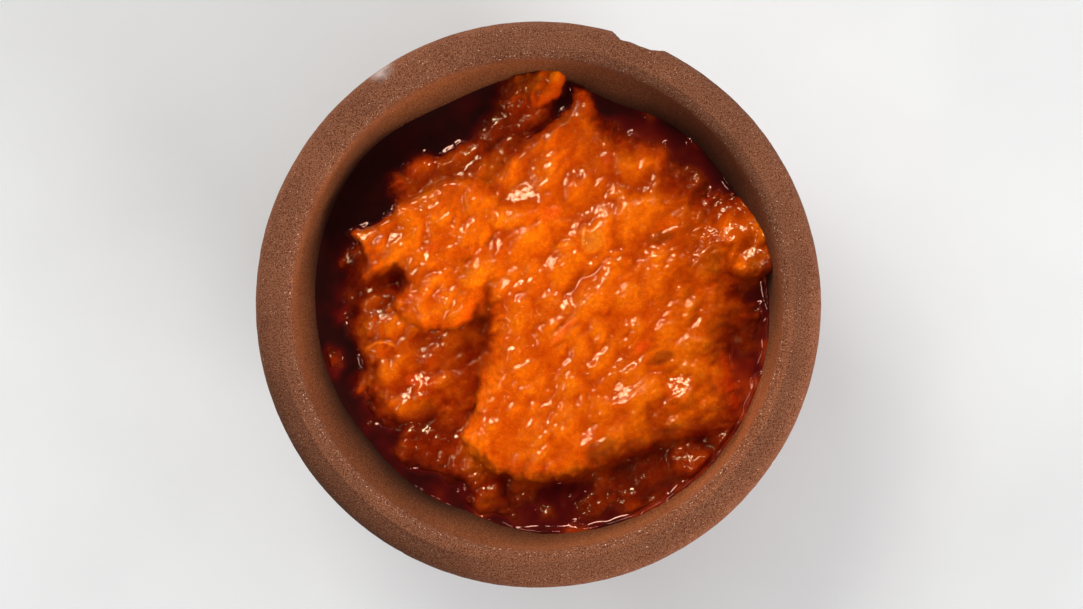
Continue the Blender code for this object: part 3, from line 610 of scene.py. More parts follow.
class ReliefMap:
    """Height and colour of the relish over a square field of points."""

    def __init__(self, seed, stir_angle, oil_level, colours):
        line = np.arange(-HALF_FIELD, HALF_FIELD + PITCH / 2, PITCH)
        self.x, self.y = np.meshgrid(line, line)
        self.seed, self.stir_angle, self.oil_level, self.colours = seed, stir_angle, oil_level, colours
        self.form = self.main_form()
        self.height, self.colour = self.relief()

    def noise(self, length_mm, seed):
        return soft_noise(self.x, self.y, length_mm * MM, seed)

    def above_oil(self, height):
        """0 where this height is well under the oil, 1 where it stands out of it."""
        return np.clip((height - self.oil_level) / MM + 1.2, 0, 1)

    def from_wall(self, z, gap=0.0):
        """Distance of each point from a line along the bowl's wall at height z, this gap inside it."""
        x, y = oval_place(self.x, self.y, -OVAL)
        return np.clip(hollow_radius(z) - gap - np.hypot(x, y), 0, 1)

    def main_form(self):
        """The heap without its chopped pieces, with outlines that wander a little."""
        x = self.x + MM * (0.5 * self.noise(4.4, 1) + 0.5 * self.noise(1.9, 2) + 0.2 * self.noise(0.9, 16))
        y = self.y + MM * (0.5 * self.noise(4.4, 3) + 0.5 * self.noise(1.9, 4) + 0.2 * self.noise(0.9, 17))
        degrees, levels = zip(*BED)
        height = MM * np.interp(np.degrees(np.arctan2(y, x)) % 360, degrees, levels)
        height = height + MM * (0.75 * self.noise(6.5, 5) + 0.35 * self.noise(2.8, 12))
        wx, wy = x / MM + 1.3 * self.noise(2.6, 14), y / MM + 1.3 * self.noise(2.6, 15)
        for px, py, radius, top in LOW_LUMPS:
            share = ((wx - px) ** 2 + (wy - py) ** 2) / radius**2
            height = blended_max((top - 0.2 - 1.6 * share) * MM, height, 1.2 * MM)
        for spoonful in CLEAR_OF_WALL:
            height = blended_max(spoonful_height(x, y, spoonful), height, spoonful.soft * MM)
        most = self.oil_level - 0.3 * MM + 3.0 * self.from_wall(self.oil_level, 0.5 * MM)
        height = np.minimum(height, most)
        for spoonful in AGAINST_WALL:
            height = blended_max(spoonful_height(x, y, spoonful), height, spoonful.soft * MM)
        for px, py, radius, depth in HOLLOWS:
            away = np.hypot(self.x - px * MM, self.y - py * MM) / (radius * MM)
            height = height - depth * MM * smooth_step(1 - away)
        window = math.radians(WINDOW_DEGREES)
        for px, py, radius, lean in LEANS:
            dx, dy = self.x - px * MM, self.y - py * MM
            along = dx * math.cos(window) + dy * math.sin(window)
            height = height - lean * along * smooth_step(1.9 - 1.9 * np.hypot(dx, dy) / (radius * MM))
        return height + 0.6 * MM * self.noise(10, 6) * self.above_oil(height)

    def relief(self):
        """The surface with its chopped pieces and its climb at the wall, and its colour."""
        dry = self.above_oil(self.form)
        mounds, _ = chopped(self.x, self.y, MOUNDS, self.stir_angle, self.seed)
        chunks, kinds = chopped(self.x, self.y, CHUNKS, self.stir_angle, self.seed + 1)
        crumbs, _ = chopped(self.x, self.y, CRUMBS, self.stir_angle, self.seed + 2)
        calm = self.places_share(CALM + tuple((px, py, reach, 2.6 * lean) for px, py, reach, lean in LEANS))
        rough = smooth_step(0.5 + 0.8 * self.noise(5, 7)) * (1 - calm)
        body = blurred(mounds, 0.5 * MM) + blurred(chunks, 0.12 * MM) * (0.50 + 0.55 * rough)
        height = self.form + body * (0.5 + 0.5 * dry) * (1 - 0.45 * calm)
        height = height + blurred(crumbs, 0.10 * MM) * (0.35 + 0.65 * rough) * (1 - 0.5 * calm)
        for bit in BITS:
            height = height + bit.height * MM * self.bit_share(bit)
        height = height + 0.55 * MM * self.peel_share()
        clear_of_oil = np.clip((self.form - self.oil_level) / MM, 0, 1)
        climb = 0.8 * MM * clear_of_oil * np.exp(-self.from_wall(self.form) / (0.8 * MM))
        return height + climb, self.tints(height, kinds)

    def peel_share(self):
        """A thin curled strip of peel on the lower mass at the left."""
        x, y = self.x - PEEL_MIDDLE[0], self.y - PEEL_MIDDLE[1]
        turn = np.arctan2(y, x)
        off = np.abs(np.hypot(x, y * 1.15) - PEEL_RADIUS + 0.25 * MM * self.noise(2, 33))
        return smooth_step((0.40 * MM - off) / (0.3 * MM)) * smooth_step((1.25 - np.abs(turn - 1.75)) / 0.5)

    def places_share(self, places):
        """How much of each point belongs to some of the places, which have uneven edges."""
        share = np.zeros(self.x.shape)
        wander = 1 + 0.4 * self.noise(3.4, 35)
        for px, py, reach, most in places:
            away = np.hypot(self.x - px * MM, self.y - py * MM) / (reach * MM)
            share = np.maximum(share, most * smooth_step(1.5 * (1 - away * wander)))
        return share

    def bit_share(self, bit):
        """How much of each point belongs to a bit, with a short soft edge."""
        x = self.x - bit.x * MM + 0.35 * MM * self.noise(1.6, 31)
        y = self.y - bit.y * MM + 0.35 * MM * self.noise(1.6, 32)
        turn = math.radians(bit.degrees)
        along = (x * math.cos(turn) + y * math.sin(turn)) / (bit.length * MM / 2)
        across = (-x * math.sin(turn) + y * math.cos(turn)) / (bit.width * MM / 2)
        return smooth_step((1.25 - np.hypot(along, across)) / 0.6)

    def tints(self, height, kinds):
        """Colour by relief, by how far the relish stands out of the oil, and by piece, with painted light on
        tops and painted shade in gaps and low places.
        """
        relief = height - self.form
        lumps = blurred(relief, 0.3 * MM) - blurred(relief, 6 * MM)
        soft = (blurred(self.form, 1.0 * MM) + 2.2 * lumps + 0.4 * MM - self.oil_level) / MM
        channels = zip(*reversed(self.colours))
        colour = np.stack([np.interp(soft, COLOUR_HEIGHTS, shades) for shades in channels], axis=-1)
        slope_y, slope_x = np.gradient(blurred(self.form, 0.4 * MM), PITCH)
        level = 1 - smooth_step((np.hypot(slope_x, slope_y) - 0.45) / 0.7)
        proud = (blurred(relief, 0.2 * MM) - blurred(relief, 1.6 * MM)) / (0.42 * MM) + lumps / (1.1 * MM)
        proud = np.clip(proud + 0.4 * (blurred(kinds, 0.4 * MM) - 0.5), -1, level)[..., None]
        # Tops lighter and gaps darker: partly the flesh's and the juice's own colours, partly painted light
        # on tops and painted shade in gaps
        colour = colour * (1 + TOP_TINT_AND_PAINTED_LIGHT * np.clip(proud, 0, 1))
        colour = colour * (1 - GAP_JUICE_AND_PAINTED_SHADE * np.clip(-proud, 0, 1))
        patch = smooth_step(0.5 + 0.7 * self.noise(5, 8))[..., None]
        colour = colour * (PATCH_DARK + PATCH_RISE * patch)
        # Darker where the oil soaks the relish, and painted shade in hollows, under the lobe and in the
        # wall's shadow
        colour = colour * (1 - self.places_share(SOAKED_AND_SHADED)[..., None] * SOAKED_AND_SHADED_LOSS)
        colour = colour * (1 + self.places_share(GLOWING)[..., None] * GLOW_GAIN)
        for bit in BITS:
            share = (0.5 * self.bit_share(bit))[..., None]
            colour = colour + (np.array(bit.colour) * (0.85 + 0.3 * patch) - colour) * share
        return colour + (np.array(PEEL_COLOUR) - colour) * (0.65 * self.peel_share())[..., None]


@lru_cache(maxsize=1)
def relief_map(seed, stir_angle, oil_level, colours):
    """The relief, worked out once for the same settings."""
    return ReliefMap(seed, stir_angle, oil_level, colours)


def relief_of(scene):
    """The relief for the scene's present settings."""
    relish = scene.ajvar_relish
    colours = tuple(tuple(c) for c in (relish.light, relish.middle, relish.deep, relish.soaked))
    return relief_map(relish.seed, relish.stir_angle, scene.ajvar_oil.level, colours)


def on_disc(u, v):
    """Places of a square's points on the unit disc, so that the square's edge becomes round."""
    flat = np.abs(u) > np.abs(v)
    reach = np.where(flat, u, v)
    safe = np.where(reach == 0, 1, reach)
    turn = np.where(flat, math.pi / 4 * v / safe, math.pi / 2 - math.pi / 4 * u / safe)
    return reach * np.cos(turn), reach * np.sin(turn)


def wall_place(angle, z, into_wall):
    """(x, y) on the hollow's wall at this angle and height, moved into the wall by into_wall."""
    radius = hollow_radius(z) + into_wall
    return oval_place(radius * np.cos(angle), radius * np.sin(angle), oval_share(z))


def edge_table(height_at, into_wall):
    """Where a surface meets the wall at each angle, found by a few rounds of stepping outwards."""
    angles = np.linspace(0, 2 * math.pi, 1441)
    z = np.full(angles.shape, float(OIL_LEVEL))
    for _ in range(6):
        x, y = wall_place(angles, z, into_wall)
        z = 0.5 * z + 0.5 * height_at(x, y)
    x, y = wall_place(angles, z, into_wall)
    return angles, np.hypot(x, y), np.arctan2(y, x)


def disc_grid(edit, cells, height_at, into_wall, crowding=1.0):
    """A round grid that fills the hollow out to its wall, lifted to height_at(x, y).

    A crowding above 1 moves its rings towards the wall.
    """
    bmesh.ops.create_grid(edit, x_segments=cells, y_segments=cells, size=1.0)
    verts = list(edit.verts)
    u, v = on_disc(np.array([vert.co.x for vert in verts]), np.array([vert.co.y for vert in verts]))
    ring = np.clip(np.hypot(u, v), 1e-6, 1)
    spread = (1 - (1 - ring) ** crowding) / ring
    u, v = u * spread, v * spread
    angles, radii, places = edge_table(height_at, into_wall)
    order = np.argsort(places)
    turn = np.arctan2(v, u)
    reach = np.interp(turn, places[order], radii[order], period=2 * math.pi)
    x, y = u * reach, v * reach
    for vert, a, b, c in zip(verts, x, y, height_at(x, y)):
        vert.co = (a, b, c)
    return verts, x, y


def extrude_rim_down(edit, levels, into_wall):
    """Extrudes the open edge down the bowl's wall to each level in turn, then closes it."""
    for z in levels:
        rim = [e for e in edit.edges if e.is_boundary]
        made = bmesh.ops.extrude_edge_only(edit, edges=rim)["geom"]
        for vert in (g for g in made if isinstance(g, bmesh.types.BMVert)):
            angle = math.atan2(vert.co.y, vert.co.x)
            x, y = wall_place(angle, z, into_wall)
            vert.co = (x, y, z)
    bmesh.ops.holes_fill(edit, edges=[e for e in edit.edges if e.is_boundary], sides=0)


def finished(edit, name, material, replaced):
    """Makes the object, gives it its material, hangs it under the root body and hides the parts it replaces.
    """
    bmesh.ops.recalc_face_normals(edit, faces=edit.faces)
    mesh = bpy.data.meshes.new(name)
    edit.to_mesh(mesh)
    edit.free()
    mesh.shade_smooth()
    mesh.materials.append(material)
    piece = bpy.data.objects.new(name, mesh)
    bpy.context.scene.collection.objects.link(piece)
    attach(piece, "root")
    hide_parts(*replaced)


class NodeTree:
    """Short ways to add and join shader nodes."""

    def __init__(self, name):
        self.material = bpy.data.materials.new(name)
        self.material.use_nodes = True
        self.tree = self.material.node_tree
        self.shader = self.tree.nodes["Principled BSDF"]

    def add(self, kind, settings=None, **inputs):
        node = self.tree.nodes.new(kind)
        for key, value in (settings or {}).items():
            setattr(node, key, value)
        for key, value in inputs.items():
            self.put(node.inputs[key.replace("_", " ")], value)
        return node

    def put(self, socket, value):
        if isinstance(value, bpy.types.NodeSocket):
            self.tree.links.new(value, socket)
        else:
            socket.default_value = value

    def set(self, **inputs):
        for key, value in inputs.items():
            self.put(self.shader.inputs[key.replace("_", " ")], value)

    def attribute(self, name, output="Fac"):
        return self.add("ShaderNodeAttribute", {"attribute_name": name}).outputs[output]

    def noise(self, where, scale, detail=2.0, roughness=0.5):
        node = self.add("ShaderNodeTexNoise", Vector=where, Scale=scale, Detail=detail, Roughness=roughness)
        return node.outputs["Fac"]

    def ramp(self, value, stops):
        node = self.add("ShaderNodeValToRGB", Fac=value)
        ramp = node.color_ramp
        while len(ramp.elements) < len(stops):
            ramp.elements.new(1.0)
        for element, (place, colour) in zip(ramp.elements, stops):
            element.position = place
            element.color = (*colour, 1.0) if len(colour) == 3 else colour
        return node.outputs["Color"]

    def grey_ramp(self, value, low, high):
        return self.ramp(value, ((low, (0, 0, 0)), (high, (1, 1, 1))))

    def mix(self, share, first, second, mode="MIX"):
        node = self.add("ShaderNodeMix", {"data_type": "RGBA", "blend_type": mode})
        self.put(node.inputs[0], share)
        self.put(node.inputs[6], first if isinstance(first, bpy.types.NodeSocket) else (*first, 1.0))
        self.put(node.inputs[7], second if isinstance(second, bpy.types.NodeSocket) else (*second, 1.0))
        return node.outputs[2]

    def maths(self, operation, first, second=0.0, clamp=False):
        node = self.add("ShaderNodeMath", {"operation": operation, "use_clamp": clamp})
        self.put(node.inputs[0], first)
        self.put(node.inputs[1], second)
        return node.outputs[0]

    def bump(self, height, distance, strength=1.0, over=None):
        node = self.add("ShaderNodeBump", Height=height, Distance=distance, Strength=strength)
        if over is not None:
            self.put(node.inputs["Normal"], over)
        return node.outputs["Normal"]


def clay_material(settings):
    """Unglazed fired clay: sandy grain, pale and dark specks, redder inside."""
    nodes = NodeTree("fired_clay")
    place = nodes.add("ShaderNodeTexCoord").outputs["Object"]
    warmth_and_bounce, scuff = nodes.attribute("warmth_and_bounce"), nodes.attribute("scuff")
    painted_shading, edge = nodes.attribute("painted_shading"), nodes.attribute("edge")
    # Redder inside the hollow: partly the clay's own colour, partly painted bounced light from the relish
    colour = nodes.mix(warmth_and_bounce, settings.clay, settings.warm_clay)
    cloud = nodes.ramp(nodes.noise(place, 90, 4), ((0.3, (0.90, 0.88, 0.86)), (0.7, (1.10, 1.10, 1.10))))
    colour = nodes.mix(1.0, colour, cloud, "MULTIPLY")
    grain_stops = ((0.35, (0.42, 0.14, 0.02)), (0.65, (1.60, 1.95, 2.25)))
    grain = nodes.ramp(nodes.noise(place, 3600, 2, 0.7), grain_stops)
    colour = nodes.mix(1.0, colour, grain, "MULTIPLY")
    speck = nodes.noise(place, 3000, 1)
    # More pale specks and fewer dark ones along the lip's edge, as painted glints where light catches the
    # grains
    pale = nodes.grey_ramp(nodes.maths("ADD", speck, nodes.maths("MULTIPLY", edge, 0.07)), 0.72, 0.78)
    colour = nodes.mix(pale, colour, (0.62, 0.42, 0.33))
    dark = nodes.noise(place, 1500, 2)
    dark = nodes.maths("SUBTRACT", dark, nodes.maths("MULTIPLY", edge, 0.10))
    dark = nodes.ramp(dark, ((0.22, (1, 1, 1)), (0.29, (0, 0, 0))))
    colour = nodes.mix(dark, colour, (0.085, 0.022, 0.012))
    # Painted light where the painted shading is below 0, and painted shade, nearly black, where it is above
    # 0
    paler = nodes.mix(1.0, colour, (1.46, 1.36, 1.24), "MULTIPLY")
    colour = nodes.mix(nodes.maths("MULTIPLY", painted_shading, -1.0, True), colour, paler)
    colour = nodes.mix(nodes.maths("MULTIPLY", painted_shading, 1.0, True), colour, (0.026, 0.0068, 0.0034))
    colour = nodes.mix(scuff, colour, (0.60, 0.53, 0.50))
    nodes.set(Base_Color=colour, Roughness=0.88, Specular_IOR_Level=0.3)
    coarse = nodes.bump(nodes.noise(place, 900, 3, 0.6), 0.25 * MM, 0.3)
    nodes.set(Normal=nodes.bump(nodes.noise(place, 3200, 2, 0.7), 0.16 * MM, 0.7, coarse))
    return nodes.material


def relish_material():
    """Wet chopped pepper: coloured piece by piece, soft light inside and a thin film of oil on top."""
    nodes = NodeTree("wet_relish")
    place = nodes.add("ShaderNodeTexCoord").outputs["Object"]
    colour = nodes.attribute("relish_colour", "Color")
    speck_stops = ((0.30, (0.90, 0.79, 0.8)), (0.70, (1.07, 1.22, 1.3)))
    speck = nodes.ramp(nodes.noise(place, 1100, 2, 0.5), speck_stops)
    colour = nodes.mix(1.0, colour, speck, "MULTIPLY")
    # Pale yellow flecks: partly bits of seed, partly painted glints
    flecks_and_glints = nodes.grey_ramp(nodes.noise(place, 2900, 1), 0.62, 0.72)
    colour = nodes.mix(flecks_and_glints, colour, nodes.mix(1.0, colour, (1.18, 1.9, 2.5), "MULTIPLY"))
    nodes.set(
        Base_Color=colour, Roughness=0.5, Specular_IOR_Level=0.0, Subsurface_Weight=0.5,
        Subsurface_Radius=(2.0, 0.5, 0.12), Subsurface_Scale=0.9 * MM, Coat_Weight=1.0,
        Coat_Roughness=0.03, Coat_IOR=1.46,
    )
    film = nodes.bump(nodes.noise(place, 1500, 1), 0.058 * MM)
    film = nodes.bump(flecks_and_glints, 0.030 * MM, 1.0, film)
    nodes.set(Normal=film, Coat_Normal=film)
    return nodes.material


def oil_material():
    """Dark red oil, coloured by the relish that lies below it."""
    nodes = NodeTree("red_oil")
    colour = nodes.attribute("oil_colour", "Color")
    nodes.set(Base_Color=colour, Roughness=0.05, IOR=1.47, Specular_Tint=(1.0, 0.70, 0.90, 1.0))
    return nodes.material


def floor_material(settings):
    """Pale, hardly mottled and matte."""
    nodes = NodeTree("pale_floor")
    place = nodes.add("ShaderNodeTexCoord").outputs["Object"]
    cloud = nodes.ramp(nodes.noise(place, 14, 4), ((0.3, (0.95, 0.945, 0.95)), (0.7, (1.03, 1.03, 1.03))))
    nodes.set(Base_Color=nodes.mix(1.0, settings.floor, cloud, "MULTIPLY"), Roughness=0.75)
    return nodes.material


def curve_arc(centre, size, start, end, steps):
    """Points of an ellipse's arc between two directions in degrees."""
    points = []
    for i in range(steps + 1):
        angle = math.radians(start + (end - start) * i / steps)
        points.append((centre[0] + size[0] * math.cos(angle), centre[1] + size[1] * math.sin(angle)))
    return points


def bowl_profile(settings):
    """From the middle of the inner floor, up the wall, over the rim and down to the middle of the foot."""
    low, high = HOLLOW_FLOOR, settings.height - INNER_ROUND
    inner = []
    for i in range(27):
        z = low + (high - low) * (i / 26) ** 1.7
        inner.append((float(hollow_radius(z)), z))
    lip_start = inner[-1][0]
    lip_width = MOUTH_RADIUS + INNER_ROUND / 2 - lip_start
    lip = curve_arc((lip_start + lip_width, high), (lip_width, INNER_ROUND), 180, 90, 8)
    shoulder_start = settings.rim_radius - OUTER_ROUND
    flat = [(lip[-1][0] + (shoulder_start - lip[-1][0]) * i / 8, settings.height) for i in range(1, 8)]
    shoulder_centre = (shoulder_start, settings.height - OUTER_ROUND)
    shoulder = curve_arc(shoulder_centre, (OUTER_ROUND, OUTER_ROUND), 90, 0, 12)
    body = []
    body_top = settings.height - OUTER_ROUND
    for i in range(1, 31):
        share = (i / 30) ** 0.95
        z = body_top - (body_top - FOOT_ROUND) * share
        body.append((settings.rim_radius - (settings.rim_radius - FOOT_RADIUS) * share**BODY_POWER, z))
    foot = curve_arc((FOOT_RADIUS - FOOT_ROUND, FOOT_ROUND), (FOOT_ROUND, FOOT_ROUND), 0, -90, 5)
    under = [(FOOT_RADIUS * share, 0.0) for share in (0.8, 0.5, 0.2, 0.0)]
    return inner + lip[1:] + flat + shoulder + body + foot[1:] + under


def dent_limit(angle, z, settings):
    """Largest radius that the dent leaves at this angle in degrees and height."""
    share = (angle - DENT_START) / (DENT_END - DENT_START)
    places, depths = zip(*DENT_SHAPE)
    depth = np.interp(share, places, depths, left=-1.2, right=-1.2)
    fade = (settings.height - z) / (20 * MM)
    return settings.rim_radius - settings.dent * depth + (settings.dent + 0.4 * MM) * fade


class AJVAR_OT_bowl(bpy.types.Operator):
    """Turn the clay bowl, press the dent into its rim and give it its sandy clay"""

    bl_idname = "ajvar.bowl"
    bl_label = "Clay bowl"

    def execute(self, context):
        settings = context.scene.ajvar_bowl
        edit = bmesh.new()
        warmth_and_bounce = edit.verts.layers.float.new("warmth_and_bounce")
        scuff = edit.verts.layers.float.new("scuff")
        painted_shading = edit.verts.layers.float.new("painted_shading")
        edge = edit.verts.layers.float.new("edge")
        points = [edit.verts.new((r, 0.0, z)) for r, z in bowl_profile(settings)]
        line = [edit.edges.new(pair) for pair in zip(points, points[1:])]
        bmesh.ops.spin(
            edit, geom=points + line, cent=(0, 0, 0), axis=(0, 0, 1), dvec=(0, 0, 0), angle=2 * math.pi,
            steps=settings.steps, use_merge=True, use_normal_flip=False, use_duplicate=False,
        )
        bmesh.ops.remove_doubles(edit, verts=edit.verts, dist=0.001 * MM)
        edit.normal_update()
        for vert in edit.verts:
            self.shape(vert, settings)
            radius = math.hypot(vert.co.x, vert.co.y)
            inside = radius < float(hollow_radius(vert.co.z)) + 2.4 * MM and vert.co.z > 1 * MM
            vert[warmth_and_bounce] = self.warmth_and_bounce(vert.co, settings) if inside else 0.0
            vert[scuff] = self.scuff(vert.co)
            # Painted shade and painted light on the wall and on the rim's outer half
            vert[painted_shading] = self.painted_shading(vert.co) if inside or radius > RIM_MIDDLE else 0.0
            # How near the lip's edge, where the clay gets painted glints
            if vert.co.z > settings.height - 5 * MM:
                from_edge = abs(radius - MOUTH_RADIUS + 0.2 * MM)
                vert[edge] = max(0.0, 1 - from_edge / (1.1 * MM))
        finished(edit, "clay_bowl", clay_material(settings), ["bowl"])
        return {"FINISHED"}

    def shape(self, vert, settings):
        """Moves one point of the turned bowl: the hollow's oval, the dent and the hand-made unevenness."""
        x, y, z = vert.co
        radius = math.hypot(x, y)
        if radius < float(hollow_radius(z)) + 0.4 * MM:
            x, y = oval_place(x, y, float(oval_share(z)))
            degrees = math.degrees(math.atan2(y, x))
            swell = sum(most * math.exp(-(((degrees - turn) / width) ** 2)) for turn, width, most in SWELLS)
            inwards = 1 - swell * MM * float(smooth_step((53 * MM - z) / (10 * MM))) / max(radius, 10 * MM)
            x, y = x * inwards, y * inwards
        elif radius > 40 * MM:
            angle = math.degrees(math.atan2(y, x)) % 360
            chip = 0.22 * MM * noise.noise(vert.co * 700)
            limit = float(dent_limit(angle, z, settings)) + chip
            if radius > limit:
                x, y = x * limit / radius, y * limit / radius
        uneven = 0.10 * MM * noise.noise(vert.co * 60) + 0.05 * MM * noise.noise(vert.co * 420)
        groove = 0.0
        if radius > 50 * MM and z < 50 * MM:
            groove = 0.05 * MM * math.sin(z * 3100 + 2.0 * noise.noise(vert.co * 30))
        pit = max(noise.noise(vert.co * 640 + Vector((3.1, 0.7, 5.2))) - 0.52, 0.0) * 0.9 * MM
        amount = 0.0 if z < 0.5 * MM else uneven + groove - pit
        vert.co = Vector((x, y, z)) + vert.normal * (amount - 0.12 * MM)

    def warmth_and_bounce(self, place, settings):
        """How red the clay is inside the hollow: partly its own colour, partly painted bounced light from
        the relish, which is less on the shaded side.
        """
        degrees = math.degrees(math.atan2(place.y, place.x))
        shaded = float(smooth_step(1.4 - abs(degrees - 35) / 50))
        from_rim = (settings.height - 0.2 * MM - place.z) / (3.4 * MM)
        return float(smooth_step(from_rim)) * (1 - 0.6 * shaded)

    def painted_shading(self, place):
        """Painted shade on the clay: on the wall from the wall's table, where below 0 is painted light, and
        on the rim's outer half at the near left.
        """
        degrees = math.degrees(math.atan2(place.y, place.x)) % 360
        # Painted shade on the rim's outer half at the near left, the side that gets no light
        if math.hypot(place.x, place.y) > RIM_MIDDLE:
            return 0.42 * float(smooth_step(1.4 - abs(degrees - 225) / 38))
        turns, low, high = zip(*WALL_PAINTED_SHADING)
        rise = (place.z - 40 * MM) / (15 * MM)
        at_pool, at_rim = float(np.interp(degrees, turns, low)), float(np.interp(degrees, turns, high))
        share = at_pool * (1 - rise) + at_rim * rise
        return min(max(share + 0.05 * noise.noise(place * 150), -1.0), 0.96)

    def scuff(self, place):
        """Chalky rub on the outer edge at the far left, 1 where it is strongest."""
        away = (place - Vector(CHALK_MIDDLE)).length / CHALK_REACH
        return max(0.0, 1 - away) * (0.55 + 0.45 * noise.noise(place * 900))


class AJVAR_OT_relish(bpy.types.Operator):
    """Heap the relish in the bowl, with its chopped pieces"""

    bl_idname = "ajvar.relish"
    bl_label = "Relish"

    def execute(self, context):
        settings = context.scene.ajvar_relish
        relief = relief_of(context.scene)
        edit = bmesh.new()
        paint = edit.verts.layers.float_color.new("relish_colour")
        verts, x, y = disc_grid(
            edit, settings.cells, lambda a, b: sampled(relief.height, a, b), into_wall=0.2 * MM
        )
        colours = sampled(relief.colour, x, y)
        for vert, colour in zip(verts, colours):
            vert[paint] = (*colour, 1.0)
        extrude_rim_down(edit, SIDE_LEVELS, into_wall=-0.1 * MM)
        for vert in edit.verts:
            if vert.co.z < SIDE_TOP:
                vert[paint] = (*settings.soaked, 1.0)
        finished(edit, "relish_heap", relish_material(), ["ajvar"])
        return {"FINISHED"}


class AJVAR_OT_oil(bpy.types.Operator):
    """Pour the red oil round the relish"""

    bl_idname = "ajvar.oil"
    bl_label = "Red oil"

    def execute(self, context):
        settings = context.scene.ajvar_oil
        relief = relief_of(context.scene)
        shore = self.shore_tree(relief)

        def height_at(x, y):
            ox, oy = oval_place(x, y, -OVAL)
            from_wall = np.clip(hollow_radius(settings.level) - np.hypot(ox, oy), 0, 1)
            from_relish = np.array([shore.find((a, b, 0))[2] for a, b in zip(x, y)])
            degrees = np.degrees(np.arctan2(y, x)) % 360
            uneven = 0.95 + 0.35 * soft_noise(x, y, 7 * MM, 22) + 0.3 * soft_noise(x, y, 3.0 * MM, 25)
            wall_climb = np.interp(degrees, *zip(*WALL_CLIMB)) * uneven
            relish_climb = 0.6 * smooth_step(0.3 + 1.6 * soft_noise(x, y, 5 * MM, 24))
            climb = wall_climb * np.exp(-from_wall / settings.reach)
            climb = climb + relish_climb * np.exp(-from_relish / settings.reach)
            ripple = 0.03 * MM * soft_noise(x, y, 6 * MM, 21)
            return settings.level + settings.climb * climb + ripple

        edit = bmesh.new()
        layer = edit.verts.layers.float_color.new("oil_colour")
        verts, x, y = disc_grid(edit, settings.cells, height_at, into_wall=0.25 * MM, crowding=1.6)
        below = sampled(relief.height, x, y)
        depth = np.clip(settings.level - sampled(blurred(relief.height, 0.5 * MM), x, y), 0, 1) / MM
        seen = sampled(relief.colour, x, y) * np.array(settings.clearness) ** depth[:, None]
        for vert, colour in zip(verts, np.maximum(seen, np.array(settings.bottom))):
            vert[layer] = (*colour, 1.0)
        covered = [v for v, ground in zip(verts, below) if ground > v.co.z + 1.1 * MM]
        bmesh.ops.delete(edit, geom=covered, context="VERTS")
        bmesh.ops.solidify(edit, geom=edit.faces[:], thickness=1.6 * MM)
        finished(edit, "red_oil_pool", oil_material(), ["oil", "oil_at_far_right"])
        return {"FINISHED"}

    def shore_tree(self, relief):
        """A search tree of the points where the relish comes out of the oil."""
        out = relief.height > relief.oil_level
        shore = np.zeros(out.shape, bool)
        shore[1:, :] |= out[1:, :] != out[:-1, :]
        shore[:, 1:] |= out[:, 1:] != out[:, :-1]
        x, y = relief.x[shore], relief.y[shore]
        tree = kdtree.KDTree(len(x))
        for i, (a, b) in enumerate(zip(x, y)):
            tree.insert((a, b, 0), i)
        tree.balance()
        return tree


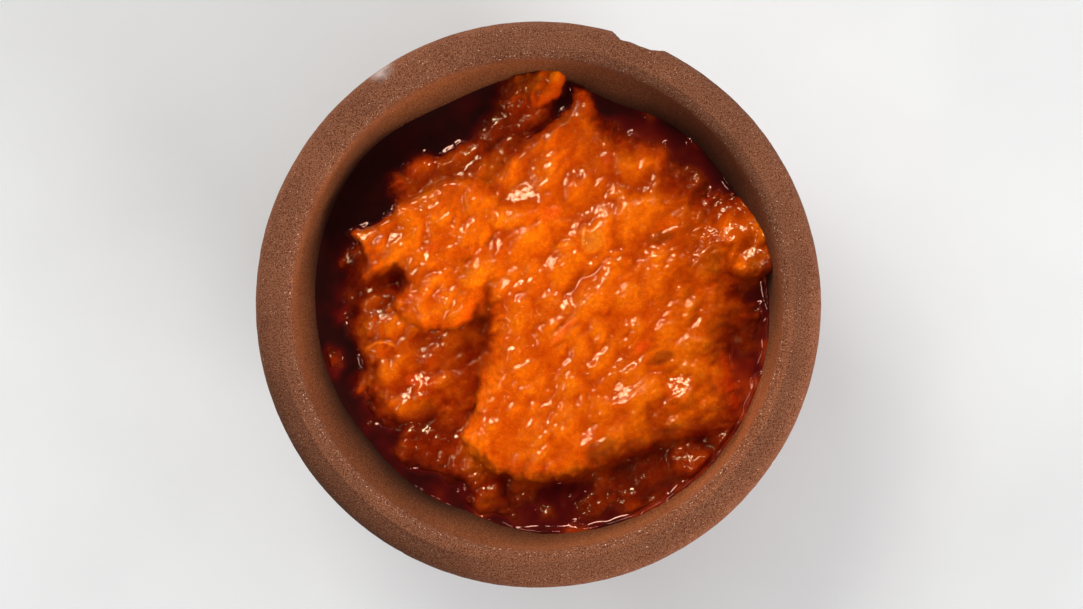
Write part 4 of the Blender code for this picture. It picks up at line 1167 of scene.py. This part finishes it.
class AJVAR_OT_stage(bpy.types.Operator):
    """Lay the pale floor, hang the lights and place the camera above the bowl"""

    bl_idname = "ajvar.stage"
    bl_label = "Stage"

    def execute(self, context):
        scene = context.scene
        settings = scene.ajvar_stage
        self.floor(settings)
        self.lights(settings)
        self.sky(scene, settings.sky)
        scene.camera = self.camera(settings)
        scene.view_settings.view_transform = "Standard"
        scene.view_settings.look = "None"
        return {"FINISHED"}

    def floor(self, settings):
        """A large flat floor, which is stage and no part of the bowl."""
        edit = bmesh.new()
        bmesh.ops.create_grid(edit, x_segments=1, y_segments=1, size=HALF_FLOOR)
        mesh = bpy.data.meshes.new("floor")
        edit.to_mesh(mesh)
        edit.free()
        mesh.materials.append(floor_material(settings))
        floor = bpy.data.objects.new("floor", mesh)
        bpy.context.scene.collection.objects.link(floor)

    def lights(self, settings):
        """Soft boxes: three that light everything and aren't mirrored, and four that are only mirrored."""
        key = self.lamp("key_light", WINDOW_DEGREES, 53, 0.95, (0.40, 0.26), settings.key, (1.0, 0.98, 0.93))
        key.visible_glossy = False
        for name, azimuth, width, share in (
            ("window_light", WINDOW_DEGREES, 0.40, 1.0), ("left_light", 192, 0.16, 0.18),
            ("corner_light", 160, 0.12, 0.05), ("right_light", 72, 0.12, 0.05),
        ):
            power = share * settings.window
            mirrored = self.lamp(name, azimuth, 52, 0.94, (width, 0.13), power, WINDOW_COLOUR)
            mirrored.visible_diffuse = False
        far = self.lamp("far_light", 138, 20, 0.95, (0.60, 0.30), settings.far, (1.0, 0.995, 0.99))
        far.visible_glossy = False
        near = self.lamp("near_light", 318, 17, 0.95, (0.50, 0.24), settings.near, (1.0, 0.995, 0.985))
        near.visible_glossy = False

    def camera(self, settings):
        """A camera that looks down into the bowl from a little to its right."""
        data = bpy.data.cameras.new("camera")
        data.lens = 90
        data.sensor_width = 36
        camera = bpy.data.objects.new("camera", data)
        bpy.context.scene.collection.objects.link(camera)
        rise = math.sqrt(settings.distance**2 - settings.offset**2)
        camera.location = Vector(CAMERA_AIM) + Vector((settings.offset, 0, rise))
        camera.rotation_euler = (0, math.atan2(settings.offset, rise), 0)
        return camera

    def sky(self, scene, strength):
        """Even light that comes mostly from the far right, too soft to show in the wet surfaces."""
        world = scene.world or bpy.data.worlds.new("studio")
        scene.world = world
        world.use_nodes = True
        nodes, links = world.node_tree.nodes, world.node_tree.links
        place = nodes.new("ShaderNodeTexCoord")
        slope = nodes.new("ShaderNodeVectorMath")
        slope.operation = "DOT_PRODUCT"
        slope.inputs[1].default_value = (0.70 * strength, 0.70 * strength, 0.0)
        level = nodes.new("ShaderNodeMath")
        level.inputs[1].default_value = strength
        links.new(place.outputs["Generated"], slope.inputs[0])
        links.new(slope.outputs["Value"], level.inputs[0])
        links.new(level.outputs[0], nodes["Background"].inputs["Strength"])
        nodes["Background"].inputs["Color"].default_value = (1.0, 1.0, 1.0, 1.0)
        world.cycles_visibility.glossy = False

    def lamp(self, name, azimuth, elevation, distance, size, power, colour):
        """A soft box at this azimuth and elevation in degrees, aimed at the bowl's mouth."""
        data = bpy.data.lights.new(name, "AREA")
        data.shape = "RECTANGLE"
        data.size, data.size_y = size
        data.energy = power
        data.color = colour
        lamp = bpy.data.objects.new(name, data)
        bpy.context.scene.collection.objects.link(lamp)
        a, e = math.radians(azimuth), math.radians(elevation)
        away = Vector((math.cos(a) * math.cos(e), math.sin(a) * math.cos(e), math.sin(e)))
        lamp.location = Vector(LIGHT_AIM) + away * distance
        lamp.rotation_euler = away.to_track_quat("Z", "Y").to_euler()
        return lamp


class AJVAR_PT_panel(bpy.types.Panel):
    """Lists the pieces of the bowl of ajvar with their settings"""

    bl_label = "Bowl of ajvar"
    bl_idname = "AJVAR_PT_panel"
    bl_space_type = "VIEW_3D"
    bl_region_type = "UI"
    bl_category = "Ajvar"

    def draw(self, context):
        for operator, group, _ in STEPS:
            box = self.layout.box()
            box.operator(operator)
            settings = getattr(context.scene, group)
            for name in settings.bl_rna.properties.keys():
                if name not in ("rna_type", "name"):
                    box.prop(settings, name)


STEPS = (
    ("ajvar.bowl", "ajvar_bowl", BowlSettings), ("ajvar.relish", "ajvar_relish", RelishSettings),
    ("ajvar.oil", "ajvar_oil", OilSettings), ("ajvar.stage", "ajvar_stage", StageSettings),
)
CLASSES = (
    BowlSettings, RelishSettings, OilSettings, StageSettings, AJVAR_OT_bowl, AJVAR_OT_relish, AJVAR_OT_oil,
    AJVAR_OT_stage, AJVAR_PT_panel,
)


def register():
    for each in CLASSES:
        bpy.utils.register_class(each)
    for _, group, settings in STEPS:
        setattr(bpy.types.Scene, group, PointerProperty(type=settings))


def unregister():
    for _, group, _ in STEPS:
        delattr(bpy.types.Scene, group)
    for each in reversed(CLASSES):
        bpy.utils.unregister_class(each)


def main():
    register()
    bpy.ops.ajvar.bowl()
    bpy.ops.ajvar.relish()
    bpy.ops.ajvar.oil()
    bpy.ops.ajvar.stage()


if __name__ == "__main__":
    main()
